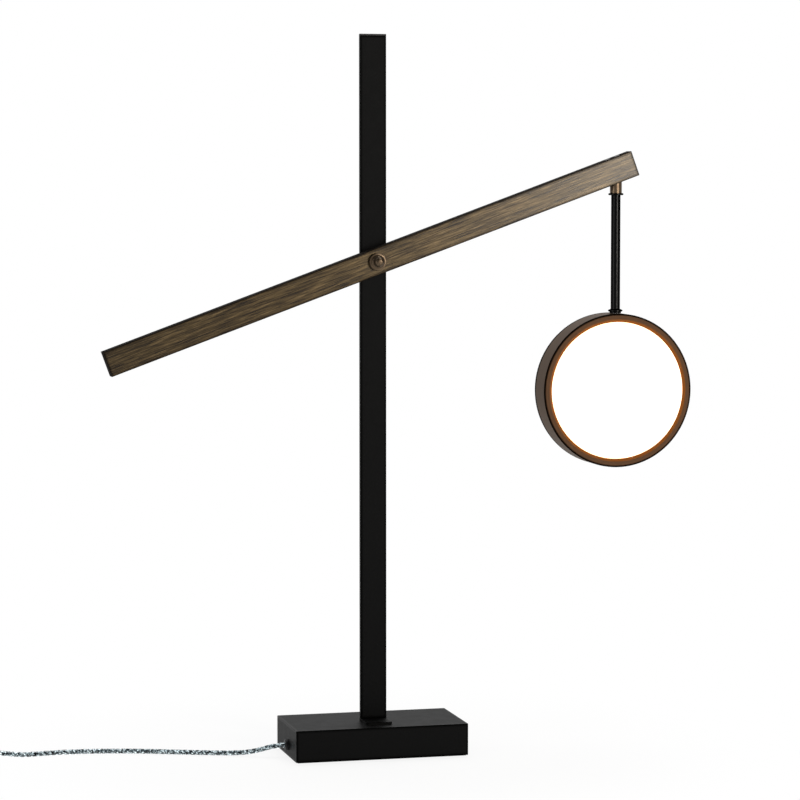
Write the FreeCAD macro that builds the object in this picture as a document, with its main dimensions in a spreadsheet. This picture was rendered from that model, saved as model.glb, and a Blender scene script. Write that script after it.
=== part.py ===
import FreeCAD, Part

import math
import os
import re

import Sketcher
from FreeCAD import Placement, Rotation, Vector

# A table lamp: a heavy black base carries a slim column, a tube arm tilts on a
# magnetic friction pivot half way along it, and a round LED head hangs plumb
# from the arm's nose on a drop rod.  A steel bar in the tail balances the head.
# Millimetres.  X runs along the base, Y to the back, Z up.  The origin is the
# middle of the base pad's underside.

os.makedirs("parts", exist_ok=True)
doc = FreeCAD.newDocument("BalanceLamp")

# ---------------------------------------------------------------- driving sizes

sheet = doc.addObject("Spreadsheet::Sheet", "Sizes")

SIZES = [
    # base
    ("base_width", 171.4), ("base_depth", 90.0), ("base_height", 31.6),
    ("base_wall", 1.5), ("base_corner", 1.2), ("base_edge", 0.6),
    ("pad_thickness", 0.8), ("pad_inset", 2.0),
    ("plate_thickness", 1.5), ("plate_clearance", 0.3),
    ("post_radius", 4.2), ("post_hole_radius", 1.35), ("post_hole_depth", 12.0),
    ("plate_screw_radius", 1.3), ("plate_screw_length", 9.0),
    ("plate_screw_head_radius", 2.7), ("plate_screw_head_height", 0.9),
    ("plate_sink_radius", 3.1), ("plate_hole_radius", 1.7),
    ("weight_left", -16.0), ("weight_height", 21.5), ("weight_clearance", 1.0),
    ("weight_notch", 9.5),
    ("driver_clearance", 15.5), ("driver_length", 44.0), ("driver_width", 66.0),
    ("driver_height", 19.0), ("driver_corner", 2.0),
    ("driver_ear_length", 5.0), ("driver_ear_width", 12.0), ("driver_ear_height", 2.0),
    # cord gland in the left wall
    ("gland_y", -6.0), ("gland_height", 11.6), ("gland_reach", 3.4),
    ("gland_head_radius", 5.2), ("gland_thread_radius", 4.0), ("gland_thread_length", 6.5),
    ("gland_nose_length", 0.7), ("gland_nose_radius", 4.3),
    ("gland_nut_width", 13.0), ("gland_nut_height", 3.0), ("gland_clearance", 0.1),
    # column and its foot
    ("column_width", 26.0), ("column_thickness", 5.0), ("column_top", 700.0),
    ("column_y", -4.0), ("column_wall", 1.0), ("column_corner", 0.6),
    ("cap_thickness", 1.5), ("cap_plug_depth", 8.0), ("cap_clearance", 0.1),
    ("foot_reach", 24.0), ("foot_thickness", 2.5), ("foot_corner", 2.0),
    ("foot_slot_width", 16.0), ("foot_slot_depth", 2.6),
    ("stud_spacing", 14.0), ("stud_back", 7.5), ("stud_radius", 2.0),
    ("stud_length", 5.6), ("stud_clearance", 0.25),
    ("stud_nut_width", 7.0), ("stud_nut_height", 3.0),
    # pivot
    ("pivot_height", 481.0), ("pivot_gap", 1.2), ("bolt_radius", 4.0),
    ("bolt_bore_radius", 2.0), ("bolt_head_radius", 7.0), ("bolt_head_height", 3.2),
    ("bolt_dome", 1.0), ("bolt_thread_radius", 3.0), ("bolt_thread_length", 8.0),
    ("bolt_window", 3.0), ("running_clearance", 0.05), ("seat_clearance", 0.1),
    ("washer_radius", 10.0), ("washer_thickness", 0.9),
    ("bush_radius", 5.5), ("magnet_radius", 9.6), ("magnet_thickness", 4.0),
    ("knob_gap", 1.0), ("knob_washer_radius", 7.0), ("knob_washer_thickness", 0.6),
    ("knob_rim_radius", 8.4), ("knob_rim_height", 2.6), ("knob_neck_radius", 5.6),
    ("knob_step_height", 4.0), ("knob_dome_radius", 4.5), ("knob_height", 10.6),
    ("knob_edge", 0.8), ("knob_dome_edge", 2.4), ("knob_thread_depth", 8.6),
    # arm
    ("rest_tilt", 20.0), ("arm_tail", 279.0), ("arm_nose", 277.8),
    ("arm_height", 25.0), ("arm_thickness", 15.0), ("arm_wall", 1.2), ("arm_corner", 0.6),
    ("end_cap_thickness", 1.5), ("tail_plug_depth", 6.0), ("nose_plug_depth", 2.0),
    ("end_plug_clearance", 0.15),
    ("weight_bar_length", 200.0), ("weight_bar_height", 22.0), ("weight_bar_thickness", 12.0),
    ("weight_bar_gap", 1.0), ("weight_bar_chamfer", 1.0),
    ("set_screw_radius", 2.0), ("set_screw_depth", 6.0), ("set_screw_place", 40.0),
    # hinge in the arm's nose
    ("pin_reach", 259.1), ("pin_radius", 1.5), ("pin_clearance", 0.05),
    ("slot_width", 12.4), ("slot_tail", 19.2), ("slot_nose", 15.0),
    ("yoke_length", 17.0), ("yoke_cheek", 2.4), ("yoke_clearance", 0.15),
    ("yoke_web", 4.2), ("yoke_cheek_radius", 6.2),
    ("yoke_screw_radius", 1.5), ("yoke_screw_head", 3.0), ("yoke_screw_spacing", 10.0),
    ("yoke_screw_length", 3.6), ("yoke_screw_clearance", 0.15),
    # hanging stub, rod and collar
    ("stub_radius", 5.9), ("stub_length", 23.0), ("tongue_thickness", 6.8),
    ("tongue_radius", 4.4), ("tongue_drop", 7.4), ("stub_bore_radius", 1.6),
    ("stub_window", 11.5), ("stub_window_radius", 1.9),
    ("spigot_radius", 2.6), ("spigot_length", 9.0), ("spigot_clearance", 0.1),
    ("flange_radius", 7.4), ("flange_height", 2.0), ("flange_edge", 0.6),
    ("rod_radius", 4.6), ("collar_radius", 7.1), ("collar_height", 4.2),
    ("collar_foot_radius", 5.6), ("collar_foot_height", 1.3),
    ("collar_bead_low", 1.9), ("collar_bead_top", 3.0),
    ("collar_gap", 0.3),
    # head
    ("head_drop", 217.1), ("head_radius", 75.8), ("head_front", 10.0), ("head_back", 24.0),
    ("head_wall", 1.0), ("head_back_edge", 2.0),
    ("bezel_lip", 8.2), ("bezel_slope_width", 2.6), ("bezel_thickness", 1.4), ("bezel_slope", 1.6),
    ("bezel_edge", 0.7),
    ("bezel_skirt", 6.0), ("bezel_skirt_wall", 1.1), ("bezel_clearance", 0.1),
    ("diffuser_thickness", 1.5), ("diffuser_overlap", 1.6), ("diffuser_gap", 0.1),
    ("diffuser_set_back", 0.2),
    ("reflector_wall", 1.0), ("reflector_depth", 14.0), ("reflector_inset", 1.4),
    ("reflector_slope", 10.5),
    ("board_margin", 2.0), ("board_thickness", 1.4), ("board_hole_radius", 6.0),
    ("chip_size", 3.5), ("chip_height", 0.8),
    ("chip_margin", 6.0), ("chip_ring_step", 14.0), ("chip_inner_count", 8.0),
    ("chip_middle_count", 14.0), ("chip_outer_count", 18.0),
    ("heat_margin", 3.0), ("heat_thickness", 1.5), ("heat_post_radius", 3.5),
    ("heat_post_margin", 9.0), ("head_screw_radius", 1.4), ("head_screw_head", 2.8),
    ("head_screw_head_height", 1.1), ("head_screw_length", 6.0),
    ("swivel_radius", 2.5), ("swivel_bore_radius", 1.5), ("swivel_up", 12.0),
    ("swivel_bush_radius", 3.8), ("swivel_flange_radius", 4.6), ("swivel_flange", 1.0),
    ("swivel_sag", 0.4), ("swivel_nut_width", 8.0), ("swivel_nut_height", 2.5),
    ("swivel_nut_gap", 0.3), ("swivel_tip", 0.2), ("swivel_relief", 5.0),
    # inner wiring
    ("wire_radius", 1.0), ("wire_end_gap", 0.6), ("wire_pitch", 2.3), ("wire_bend", 7.0),
    # mains cord, in-line switch and plug
    ("cord_radius", 2.4), ("cord_straight", 9.5), ("coil_edge", 1.6),
    ("coil_x", -478.0), ("coil_y", 30.6), ("coil_turn_radius", 35.0), ("coil_rings", 4.0),
    ("coil_layers", 2.0),
    ("switch_x", -403.0), ("switch_y", 50.0), ("switch_length", 58.0),
    ("switch_width", 22.0), ("switch_height", 15.0), ("switch_wall", 1.6),
    ("switch_split", 7.5), ("switch_corner", 5.0), ("switch_edge", 1.4),
    ("switch_cord_height", 6.5),
    ("switch_screw_x", 19.5), ("switch_screw_y", 6.2), ("switch_screw_radius", 1.1),
    ("switch_screw_head", 2.2), ("switch_screw_head_height", 1.0), ("switch_screw_length", 10.5),
    ("switch_boss_radius", 2.6), ("switch_screw_sink", 0.2),
    ("rocker_length", 15.8), ("rocker_width", 9.0), ("rocker_gap", 0.5),
    ("rocker_rise", 2.0), ("rocker_keel", 1.8), ("rocker_keel_length", 13.0),
    ("rocker_taper", 0.4), ("rocker_drop", 1.6), ("rocker_dip", 1.0), ("rocker_tilt", 8.0),
    ("rocker_pin_radius", 1.0), ("lug_thickness", 1.8), ("lug_length", 5.0), ("lug_depth", 2.9),
    ("plug_x", -428.0), ("plug_y", -4.0), ("plug_length", 37.0), ("plug_width", 34.0),
    ("plug_height", 13.7), ("plug_neck_width", 14.0), ("plug_shoulder", 17.0),
    ("plug_edge", 1.6), ("plug_axis", 6.85),
    ("relief_length", 20.0), ("relief_root", 5.2), ("relief_tip", 3.3),
    ("relief_groove", 0.9), ("relief_pitch", 3.6), ("relief_grooves", 5.0),
    ("prong_spacing", 18.6), ("prong_radius", 2.0), ("prong_length", 19.0),
    ("prong_root", 6.0), ("prong_tip", 1.2), ("sleeve_length", 10.0), ("sleeve_radius", 1.9),
    ("sleeve_core", 1.5),
]

for row, (alias, number) in enumerate(SIZES, start=1):
    sheet.set("A%d" % row, alias.replace("_", " "))
    sheet.set("B%d" % row, repr(number))
    sheet.setAlias("B%d" % row, alias)
doc.recompute()

ALIASES = {alias for alias, number in SIZES}

# Places that follow from the driving sizes.
DERIVED = {
    "shell_bottom": "pad_thickness",
    "plate_top": "pad_thickness + plate_thickness",
    "inner_top": "base_height - base_wall",
    "inner_x": "base_width / 2 - base_wall",
    "inner_y": "base_depth / 2 - base_wall",
    "post_x": "inner_x - post_radius + base_edge",
    "post_y": "inner_y - post_radius + base_edge",
    "weight_right": "inner_x - weight_clearance",
    "weight_side": "inner_y - weight_clearance",
    "driver_left": "driver_clearance - inner_x",
    "driver_right": "driver_left + driver_length",
    "column_front": "column_y - column_thickness / 2",
    "column_back": "column_y + column_thickness / 2",
    "column_bottom": "base_height + foot_thickness",
    "column_bore": "column_width / 2 - column_wall",
    "column_gap": "column_thickness / 2 - column_wall",
    "foot_front": "column_front - foot_reach",
    "stud_y": "column_front - stud_back",
    "arm_back": "column_front - pivot_gap",
    "arm_front": "arm_back - arm_thickness",
    "arm_mid": "arm_back - arm_thickness / 2",
    "arm_inner_y": "arm_thickness / 2 - arm_wall",
    "arm_inner_z": "arm_height / 2 - arm_wall",
    "knob_back": "arm_front - knob_gap",
    "pin_x": "pin_reach * cos(rest_tilt)",
    "pin_z": "pivot_height + pin_reach * sin(rest_tilt)",
    "head_z": "pin_z - head_drop",
    "rim_top": "head_radius - head_drop",
    "collar_bottom": "rim_top + collar_gap",
    "collar_top": "collar_bottom + collar_height",
    "rod_top": "0 - stub_length - flange_height",
    "yoke_half": "arm_inner_y - yoke_clearance",
    "yoke_bottom_of_web": "arm_inner_z - yoke_web",
    "bezel_back": "bezel_thickness + bezel_slope - head_front",
    "diffuser_back": "bezel_back + diffuser_gap + diffuser_thickness",
    "diffuser_radius": "head_radius - bezel_lip + diffuser_overlap",
    "reflector_mouth_radius": "diffuser_radius - reflector_inset",
    "reflector_floor_radius": "reflector_mouth_radius - reflector_slope",
    "board_radius": "reflector_floor_radius - board_margin",
    "chip_outer_ring": "board_radius - chip_margin",
    "chip_middle_ring": "chip_outer_ring - chip_ring_step",
    "chip_inner_ring": "chip_middle_ring - chip_ring_step",
    "heat_radius": "reflector_floor_radius + heat_margin",
    "heat_post_place": "board_radius - heat_post_margin",
    "board_front": "diffuser_back + diffuser_gap + reflector_depth",
    "heat_front": "board_front + board_thickness",
    "heat_back": "heat_front + heat_thickness",
    "swivel_seat": "head_radius - head_wall - swivel_sag",
    "swivel_nut_top": "swivel_seat - swivel_flange - swivel_nut_gap",
    "rocker_axis": "switch_height - switch_wall - rocker_drop",
    "rocker_top": "switch_height + rocker_rise - rocker_axis",
    "plug_face": "plug_x + plug_length",
    "coil_outer": "coil_turn_radius + cord_radius",
    "coil_inner": "coil_outer - 2 * cord_radius * coil_rings",
    "coil_height": "2 * cord_radius * coil_layers",
}


def formula(text):
    """Spell out derived places and point every alias at the sheet."""
    def spell(match):
        word = match.group(0)
        if word in DERIVED:
            return "(" + formula(DERIVED[word]) + ")"
        if word in ALIASES:
            return "Sizes." + word
        return word
    return re.sub(r"[A-Za-z_]+", spell, text)


def size(text):
    """The number that a formula of the sheet's sizes comes to now."""
    return float(sheet.evalExpression(formula(text)))


# ---------------------------------------------------------------- drawing helpers

def place(item, x="0", y="0", z="0", tilt=None):
    """Bind a sub-part's place to the sheet; a tilt turns it nose-up about Y."""
    if tilt:
        item.Placement = Placement(Vector(), Rotation(Vector(0, -1, 0), size(tilt)))
        item.setExpression("Placement.Rotation.Angle", formula(tilt))
    for axis, text in (("x", x), ("y", y), ("z", z)):
        item.setExpression("Placement.Base." + axis, formula(text))


SUB_PARTS = []


def new_body(label, **where):
    body = doc.addObject("PartDesign::Body", label)
    body.Label = label
    place(body, **where)
    SUB_PARTS.append(body)
    return body


def keep(label, shape):
    """A sub-part whose shape is set directly."""
    item = doc.addObject("Part::Feature", label)
    item.Label = label
    item.Shape = shape
    SUB_PARTS.append(item)
    return item


def in_arm(label):
    return new_body(label, y="arm_mid", z="pivot_height", tilt="rest_tilt")


def in_pivot(label):
    return new_body(label, z="pivot_height")


def under_pin(label):
    return new_body(label, x="pin_x", y="arm_mid", z="pin_z")


def in_head(label):
    return new_body(label, x="pin_x", y="arm_mid", z="head_z")


def new_sketch(body, plane, offset="0"):
    """A sketch on one of the body's planes: XY faces +Z, XZ faces -Y, YZ faces +X."""
    sketch = body.newObject("Sketcher::SketchObject", body.Label + "_sketch")
    role = plane + "_Plane"
    base = [item for item in body.Origin.OriginFeatures if item.Role == role][0]
    sketch.AttachmentSupport = [(base, "")]
    sketch.MapMode = "FlatFace"
    sketch.setExpression("AttachmentOffset.Base.z", formula(offset))
    return sketch


def outline(sketch, points):
    """A closed outline of straight sides through points given as two formulas each."""
    corners = [Vector(size(x), size(y), 0) for x, y in points]
    sides = zip(corners, corners[1:] + corners[:1])
    lines = sketch.addGeometry([Part.LineSegment(start, end) for start, end in sides], False)
    joints = []
    places = []
    for line, following, (x, y) in zip(lines, lines[1:] + lines[:1], points):
        joints.append(Sketcher.Constraint("Coincident", line, 2, following, 1))
        places.append((Sketcher.Constraint("DistanceX", line, 1, size(x)), x))
        places.append((Sketcher.Constraint("DistanceY", line, 1, size(y)), y))
    sketch.addConstraint(joints)
    bind(sketch, places)


def bind(sketch, places):
    """Add constraints, each tied to its formula."""
    first = sketch.ConstraintCount
    sketch.addConstraint([constraint for constraint, text in places])
    for index, (constraint, text) in enumerate(places, start=first):
        sketch.setExpression("Constraints[%d]" % index, formula(text))


def rectangle(sketch, left, right, low, high):
    outline(sketch, [(left, low), (right, low), (right, high), (left, high)])


def circle(sketch, x, y, radius):
    ring = Part.Circle(Vector(size(x), size(y), 0), Vector(0, 0, 1), size(radius))
    index = sketch.addGeometry(ring, False)
    bind(sketch, [
        (Sketcher.Constraint("Radius", index, size(radius)), radius),
        (Sketcher.Constraint("DistanceX", index, 3, size(x)), x),
        (Sketcher.Constraint("DistanceY", index, 3, size(y)), y),
    ])


def hexagon(sketch, x, y, width):
    """Six flats, the given width across them."""
    corners = []
    for index in range(6):
        angle = "%d" % (60 * index + 30)
        reach = "(%s) / 2 / cos(30)" % width
        corners.append(("%s + %s * cos(%s)" % (x, reach, angle),
                        "%s + %s * sin(%s)" % (y, reach, angle)))
    outline(sketch, corners)


def pad(body, sketch, length, back=False, both=False):
    feature = body.newObject("PartDesign::Pad", body.Label + "_pad")
    feature.Profile = sketch
    feature.setExpression("Length", formula(length))
    feature.Reversed = back
    if both:
        feature.SideType = "Symmetric"
    sketch.Visibility = False
    return feature


def pocket(body, sketch, length, back=False, both=False):
    """Cut away from the sketch's facing side, or towards it where back is set."""
    feature = body.newObject("PartDesign::Pocket", body.Label + "_pocket")
    feature.Profile = sketch
    feature.setExpression("Length", formula(length))
    feature.Reversed = back
    if both:
        feature.SideType = "Symmetric"
    return feature


def turn(body, sketch, axis="V_Axis"):
    feature = body.newObject("PartDesign::Revolution", body.Label + "_turn")
    feature.Profile = sketch
    feature.ReferenceAxis = (sketch, [axis])
    feature.Angle = 360.0
    return feature


def edges_where(feature, test):
    doc.recompute()
    names = []
    for index, edge in enumerate(feature.Shape.Edges, start=1):
        if test(edge):
            names.append("Edge%d" % index)
    return names


def round_edges(body, feature, radius, test):
    result = body.newObject("PartDesign::Fillet", body.Label + "_round")
    result.Base = (feature, edges_where(feature, test))
    result.setExpression("Radius", formula(radius))
    return result


def bevel_edges(body, feature, width, test):
    result = body.newObject("PartDesign::Chamfer", body.Label + "_bevel")
    result.Base = (feature, edges_where(feature, test))
    result.setExpression("Size", formula(width))
    return result


def runs_along(edge, direction):
    ends = [vertex.Point for vertex in edge.Vertexes]
    if len(ends) != 2 or not isinstance(edge.Curve, Part.Line):
        return False
    line = (ends[1] - ends[0]).normalize()
    return abs(line.dot(direction)) > 0.999


def lies_at(edge, axis, level):
    """Whether a whole edge lies in the plane where one coordinate has one value."""
    box = edge.BoundBox
    low, high = getattr(box, axis + "Min"), getattr(box, axis + "Max")
    return abs(low - level) < 1e-4 and abs(high - level) < 1e-4


def bent_tube(points, radius, label):
    """A round tube along straight runs joined by tangent arcs."""
    share = 0.45
    edges = []
    radii = []
    start = points[0]
    for before, corner, after in zip(points, points[1:], points[2:]):
        into = (corner - before).normalize()
        out = (after - corner).normalize()
        shorter = min(before.distanceToPoint(corner), corner.distanceToPoint(after))
        reach = share * shorter
        half_turn = into.getAngle(out) / 2
        radii.append(reach / math.tan(half_turn))
        entry = corner - into * reach
        leave = corner + out * reach
        inward = (out - into).normalize()
        centre = corner + inward * (reach / math.sin(half_turn))
        middle = centre - inward * radii[-1]
        edges.append(Part.LineSegment(start, entry).toShape())
        edges.append(Part.Arc(entry, middle, leave).toShape())
        start = leave
    edges.append(Part.LineSegment(start, points[-1]).toShape())
    path = Part.Wire(edges)
    heading = points[1] - points[0]
    ring = Part.Wire(Part.Circle(points[0], heading, radius).toShape())
    tube = path.makePipeShell([ring], True, False)
    whole = Part.Solid(tube) if tube.ShapeType == "Shell" else tube
    ideal = math.pi * radius ** 2 * path.Length
    tightest = min(radii) if radii else 0.0
    print("%s: length %.1f, radii from %.1f, volume over section x length %.5f" % (
        label, path.Length, tightest, whole.Volume / ideal))
    return whole


ALONG_X = Vector(1, 0, 0)
ALONG_Y = Vector(0, 1, 0)
ALONG_Z = Vector(0, 0, 1)
CORNERS = [(-1, -1), (1, -1), (1, 1), (-1, 1)]

# ---------------------------------------------------------------- base

# The shell is pressed from sheet steel, open below, with four posts welded in.
shell = new_body("base_shell")
sketch = new_sketch(shell, "XY", "shell_bottom")
rectangle(sketch, "0 - base_width / 2", "base_width / 2", "0 - base_depth / 2", "base_depth / 2")
block = pad(shell, sketch, "base_height - shell_bottom")
block = round_edges(shell, block, "base_corner", lambda edge: runs_along(edge, ALONG_Z))
block = round_edges(shell, block, "base_edge", lambda edge: lies_at(edge, "Z", size("base_height")))
sketch = new_sketch(shell, "XY", "shell_bottom")
rectangle(sketch, "0 - inner_x", "inner_x", "0 - inner_y", "inner_y")
pocket(shell, sketch, "inner_top - shell_bottom", back=True)
sketch = new_sketch(shell, "XY", "plate_top")
for side, end in CORNERS:
    circle(sketch, "%d * post_x" % side, "%d * post_y" % end, "post_radius")
pad(shell, sketch, "inner_top - plate_top + base_wall / 2")
sketch = new_sketch(shell, "XY", "plate_top")
for side, end in CORNERS:
    circle(sketch, "%d * post_x" % side, "%d * post_y" % end, "post_hole_radius")
pocket(shell, sketch, "post_hole_depth", back=True)
sketch = new_sketch(shell, "YZ", "0 - base_width / 2")
circle(sketch, "gland_y", "gland_height", "gland_thread_radius + gland_clearance")
pocket(shell, sketch, "base_wall * 2", back=True)
sketch = new_sketch(shell, "XY", "base_height")
rectangle(sketch, "0 - foot_slot_width / 2", "foot_slot_width / 2",
          "column_y - foot_slot_depth / 2", "column_y + foot_slot_depth / 2")
for side in (-1, 1):
    circle(sketch, "%d * stud_spacing / 2" % side, "stud_y", "stud_radius + stud_clearance")
pocket(shell, sketch, "base_wall * 2")

# A steel plate closes the shell from below.
plate = new_body("base_plate")
sketch = new_sketch(plate, "XY", "pad_thickness")
rectangle(sketch, "plate_clearance - inner_x", "inner_x - plate_clearance",
          "plate_clearance - inner_y", "inner_y - plate_clearance")
for side, end in CORNERS:
    circle(sketch, "%d * post_x" % side, "%d * post_y" % end, "plate_hole_radius")
sheet_metal = pad(plate, sketch, "plate_thickness")
sketch = new_sketch(plate, "XY", "pad_thickness")
for side, end in CORNERS:
    circle(sketch, "%d * post_x" % side, "%d * post_y" % end, "plate_sink_radius")
pocket(plate, sketch, "plate_screw_head_height", back=True)

# Four screws pull the plate up against the posts.
screws = new_body("base_plate_screws")
sketch = new_sketch(screws, "XY", "pad_thickness")
for side, end in CORNERS:
    circle(sketch, "%d * post_x" % side, "%d * post_y" % end, "plate_screw_head_radius")
pad(screws, sketch, "plate_screw_head_height")
sketch = new_sketch(screws, "XY", "pad_thickness + plate_screw_head_height / 2")
for side, end in CORNERS:
    circle(sketch, "%d * post_x" % side, "%d * post_y" % end, "plate_screw_radius")
pad(screws, sketch, "plate_screw_length")

# A soft pad glued under the plate covers the screws and keeps the base off the table.
pad_sheet = new_body("base_pad")
sketch = new_sketch(pad_sheet, "XY")
rectangle(sketch, "pad_inset - base_width / 2", "base_width / 2 - pad_inset",
          "pad_inset - base_depth / 2", "base_depth / 2 - pad_inset")
pad(pad_sheet, sketch, "pad_thickness")

# A cast-iron weight fills the right half of the base, notched round two posts.
weight = new_body("base_weight")
sketch = new_sketch(weight, "XY", "plate_top")
outline(sketch, [
    ("weight_left", "0 - weight_side"),
    ("weight_right - weight_notch", "0 - weight_side"),
    ("weight_right - weight_notch", "weight_notch - weight_side"),
    ("weight_right", "weight_notch - weight_side"),
    ("weight_right", "weight_side - weight_notch"),
    ("weight_right - weight_notch", "weight_side - weight_notch"),
    ("weight_right - weight_notch", "weight_side"),
    ("weight_left", "weight_side"),
])
pad(weight, sketch, "weight_height")

# The LED driver stands on the plate in the left half, with two fixing ears.
driver = new_body("led_driver")
sketch = new_sketch(driver, "XY", "plate_top")
rectangle(sketch, "driver_left", "driver_right", "0 - driver_width / 2", "driver_width / 2")
case = pad(driver, sketch, "driver_height")
case = round_edges(driver, case, "driver_corner", lambda edge: runs_along(edge, ALONG_Z))
sketch = new_sketch(driver, "XY", "plate_top")
rectangle(sketch, "driver_left + driver_length / 2 - driver_ear_width / 2",
          "driver_left + driver_length / 2 + driver_ear_width / 2",
          "0 - driver_width / 2 - driver_ear_length", "driver_width / 2 + driver_ear_length")
pad(driver, sketch, "driver_ear_height")

# ---------------------------------------------------------------- cord gland

gland = new_body("cord_gland", x="0 - base_width / 2", y="gland_y", z="gland_height")
sketch = new_sketch(gland, "XZ")
outline(sketch, [
    ("0 - gland_reach", "cord_radius"),
    ("base_wall + gland_thread_length", "cord_radius"),
    ("base_wall + gland_thread_length", "gland_thread_radius"),
    ("0", "gland_thread_radius"),
    ("0", "gland_head_radius"),
    ("gland_nose_length - gland_reach", "gland_head_radius"),
    ("0 - gland_reach", "gland_nose_radius"),
])
turn(gland, sketch, "H_Axis")

gland_nut = new_body("gland_nut", x="base_wall - base_width / 2", y="gland_y", z="gland_height")
sketch = new_sketch(gland_nut, "YZ")
hexagon(sketch, "0", "0", "gland_nut_width")
circle(sketch, "0", "0", "gland_thread_radius + running_clearance")
pad(gland_nut, sketch, "gland_nut_height")

# ---------------------------------------------------------------- column

# The foot plate is welded under the tube and reaches forward over the base.
foot = new_body("column_foot")
sketch = new_sketch(foot, "XY", "base_height")
rectangle(sketch, "0 - column_width / 2", "column_width / 2", "foot_front", "column_back")
rectangle(sketch, "0 - foot_slot_width / 2", "foot_slot_width / 2",
          "column_y - foot_slot_depth / 2", "column_y + foot_slot_depth / 2")
tab = pad(foot, sketch, "foot_thickness")
tab = round_edges(foot, tab, "foot_corner",
                  lambda edge: runs_along(edge, ALONG_Z) and lies_at(edge, "Y", size("foot_front")))
sketch = new_sketch(foot, "XY", "base_height")
for side in (-1, 1):
    circle(sketch, "%d * stud_spacing / 2" % side, "stud_y", "stud_radius")
pad(foot, sketch, "stud_length", back=True)

nuts = new_body("foot_nuts")
sketch = new_sketch(nuts, "XY", "inner_top")
for side in (-1, 1):
    hexagon(sketch, "%d * stud_spacing / 2" % side, "stud_y", "stud_nut_width")
    circle(sketch, "%d * stud_spacing / 2" % side, "stud_y", "stud_radius + running_clearance")
pad(nuts, sketch, "stud_nut_height", back=True)

column = new_body("column", y="column_y")
sketch = new_sketch(column, "XY", "column_bottom")
rectangle(sketch, "0 - column_width / 2", "column_width / 2",
          "0 - column_thickness / 2", "column_thickness / 2")
rectangle(sketch, "0 - column_bore", "column_bore", "0 - column_gap", "column_gap")
tube = pad(column, sketch, "column_top - cap_thickness - column_bottom")
tube = round_edges(column, tube, "column_corner",
                   lambda edge: runs_along(edge, ALONG_Z) and lies_at(
                       edge, "X", math.copysign(size("column_width / 2"), edge.BoundBox.XMin)))
sketch = new_sketch(column, "XZ")
circle(sketch, "0", "pivot_height", "bolt_radius + seat_clearance")
pocket(column, sketch, "column_thickness * 3", both=True)

cap = new_body("column_cap", y="column_y", z="column_top")
sketch = new_sketch(cap, "XY", "0 - cap_thickness")
rectangle(sketch, "0 - column_width / 2", "column_width / 2",
          "0 - column_thickness / 2", "column_thickness / 2")
lid = pad(cap, sketch, "cap_thickness")
lid = round_edges(cap, lid, "column_corner", lambda edge: runs_along(edge, ALONG_Z))
lid = round_edges(cap, lid, "column_corner / 2", lambda edge: lies_at(edge, "Z", 0.0))
sketch = new_sketch(cap, "XY", "0 - cap_thickness")
rectangle(sketch, "cap_clearance - column_bore", "column_bore - cap_clearance",
          "cap_clearance - column_gap", "column_gap - cap_clearance")
pad(cap, sketch, "cap_plug_depth", back=True)

# ---------------------------------------------------------------- pivot

# A hollow shoulder bolt comes through the column from behind and carries the arm.
bolt = in_pivot("pivot_bolt")
sketch = new_sketch(bolt, "YZ")
outline(sketch, [
    ("column_back + bolt_head_height", "0"),
    ("column_back + bolt_head_height", "bolt_head_radius - bolt_dome"),
    ("column_back + bolt_head_height - bolt_dome", "bolt_head_radius"),
    ("column_back", "bolt_head_radius"),
    ("column_back", "bolt_radius"),
    ("arm_front + arm_wall", "bolt_radius"),
    ("arm_front + arm_wall - bolt_radius + bolt_thread_radius", "bolt_thread_radius"),
    ("knob_back - bolt_thread_length", "bolt_thread_radius"),
    ("knob_back - bolt_thread_length", "0"),
])
turn(bolt, sketch, "H_Axis")
sketch = new_sketch(bolt, "XZ", "0 - column_y - column_gap")
circle(sketch, "0", "0", "bolt_bore_radius")
pocket(bolt, sketch, "column_y + column_gap - arm_mid + bolt_window / 2", back=True)
sketch = new_sketch(bolt, "XY")
rectangle(sketch, "0 - bolt_window / 2", "bolt_window / 2",
          "column_y - column_gap", "column_y + column_gap")
pocket(bolt, sketch, "bolt_radius * 2")
sketch = new_sketch(bolt, "YZ")
rectangle(sketch, "arm_mid - bolt_window / 2", "arm_mid + bolt_window / 2",
          "0 - bolt_window / 2", "bolt_window / 2")
pocket(bolt, sketch, "bolt_radius * 2", back=True)

washer = in_pivot("friction_washer")
sketch = new_sketch(washer, "XZ", "0 - column_front")
circle(sketch, "0", "0", "washer_radius")
circle(sketch, "0", "0", "bolt_radius + running_clearance")
pad(washer, sketch, "washer_thickness")

knob_washer = in_pivot("knob_washer")
sketch = new_sketch(knob_washer, "XZ", "knob_gap / 2 - arm_front")
circle(sketch, "0", "0", "knob_washer_radius")
circle(sketch, "0", "0", "bolt_thread_radius + running_clearance")
pad(knob_washer, sketch, "knob_washer_thickness", both=True)

# The tension knob is turned from bronze: a flat rim, a hollow neck and a dome.
knob = new_body("tension_knob", y="knob_back", z="pivot_height")
sketch = new_sketch(knob, "YZ")
outline(sketch, [
    ("0", "bolt_thread_radius + running_clearance"),
    ("0", "knob_rim_radius"),
    ("0 - knob_rim_height", "knob_rim_radius"),
    ("0 - knob_rim_height", "knob_neck_radius"),
    ("0 - knob_step_height", "knob_dome_radius"),
    ("0 - knob_height", "knob_dome_radius"),
    ("0 - knob_height", "0"),
    ("0 - knob_thread_depth", "0"),
    ("0 - knob_thread_depth", "bolt_thread_radius + running_clearance"),
])
turned = turn(knob, sketch, "H_Axis")
turned = round_edges(knob, turned, "knob_dome_edge",
                     lambda edge: lies_at(edge, "Y", -size("knob_height")))
turned = round_edges(knob, turned, "knob_edge",
                     lambda edge: lies_at(edge, "Y", -size("knob_rim_height"))
                     and edge.BoundBox.ZMax > size("knob_neck_radius + knob_edge"))

# ---------------------------------------------------------------- arm

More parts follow.
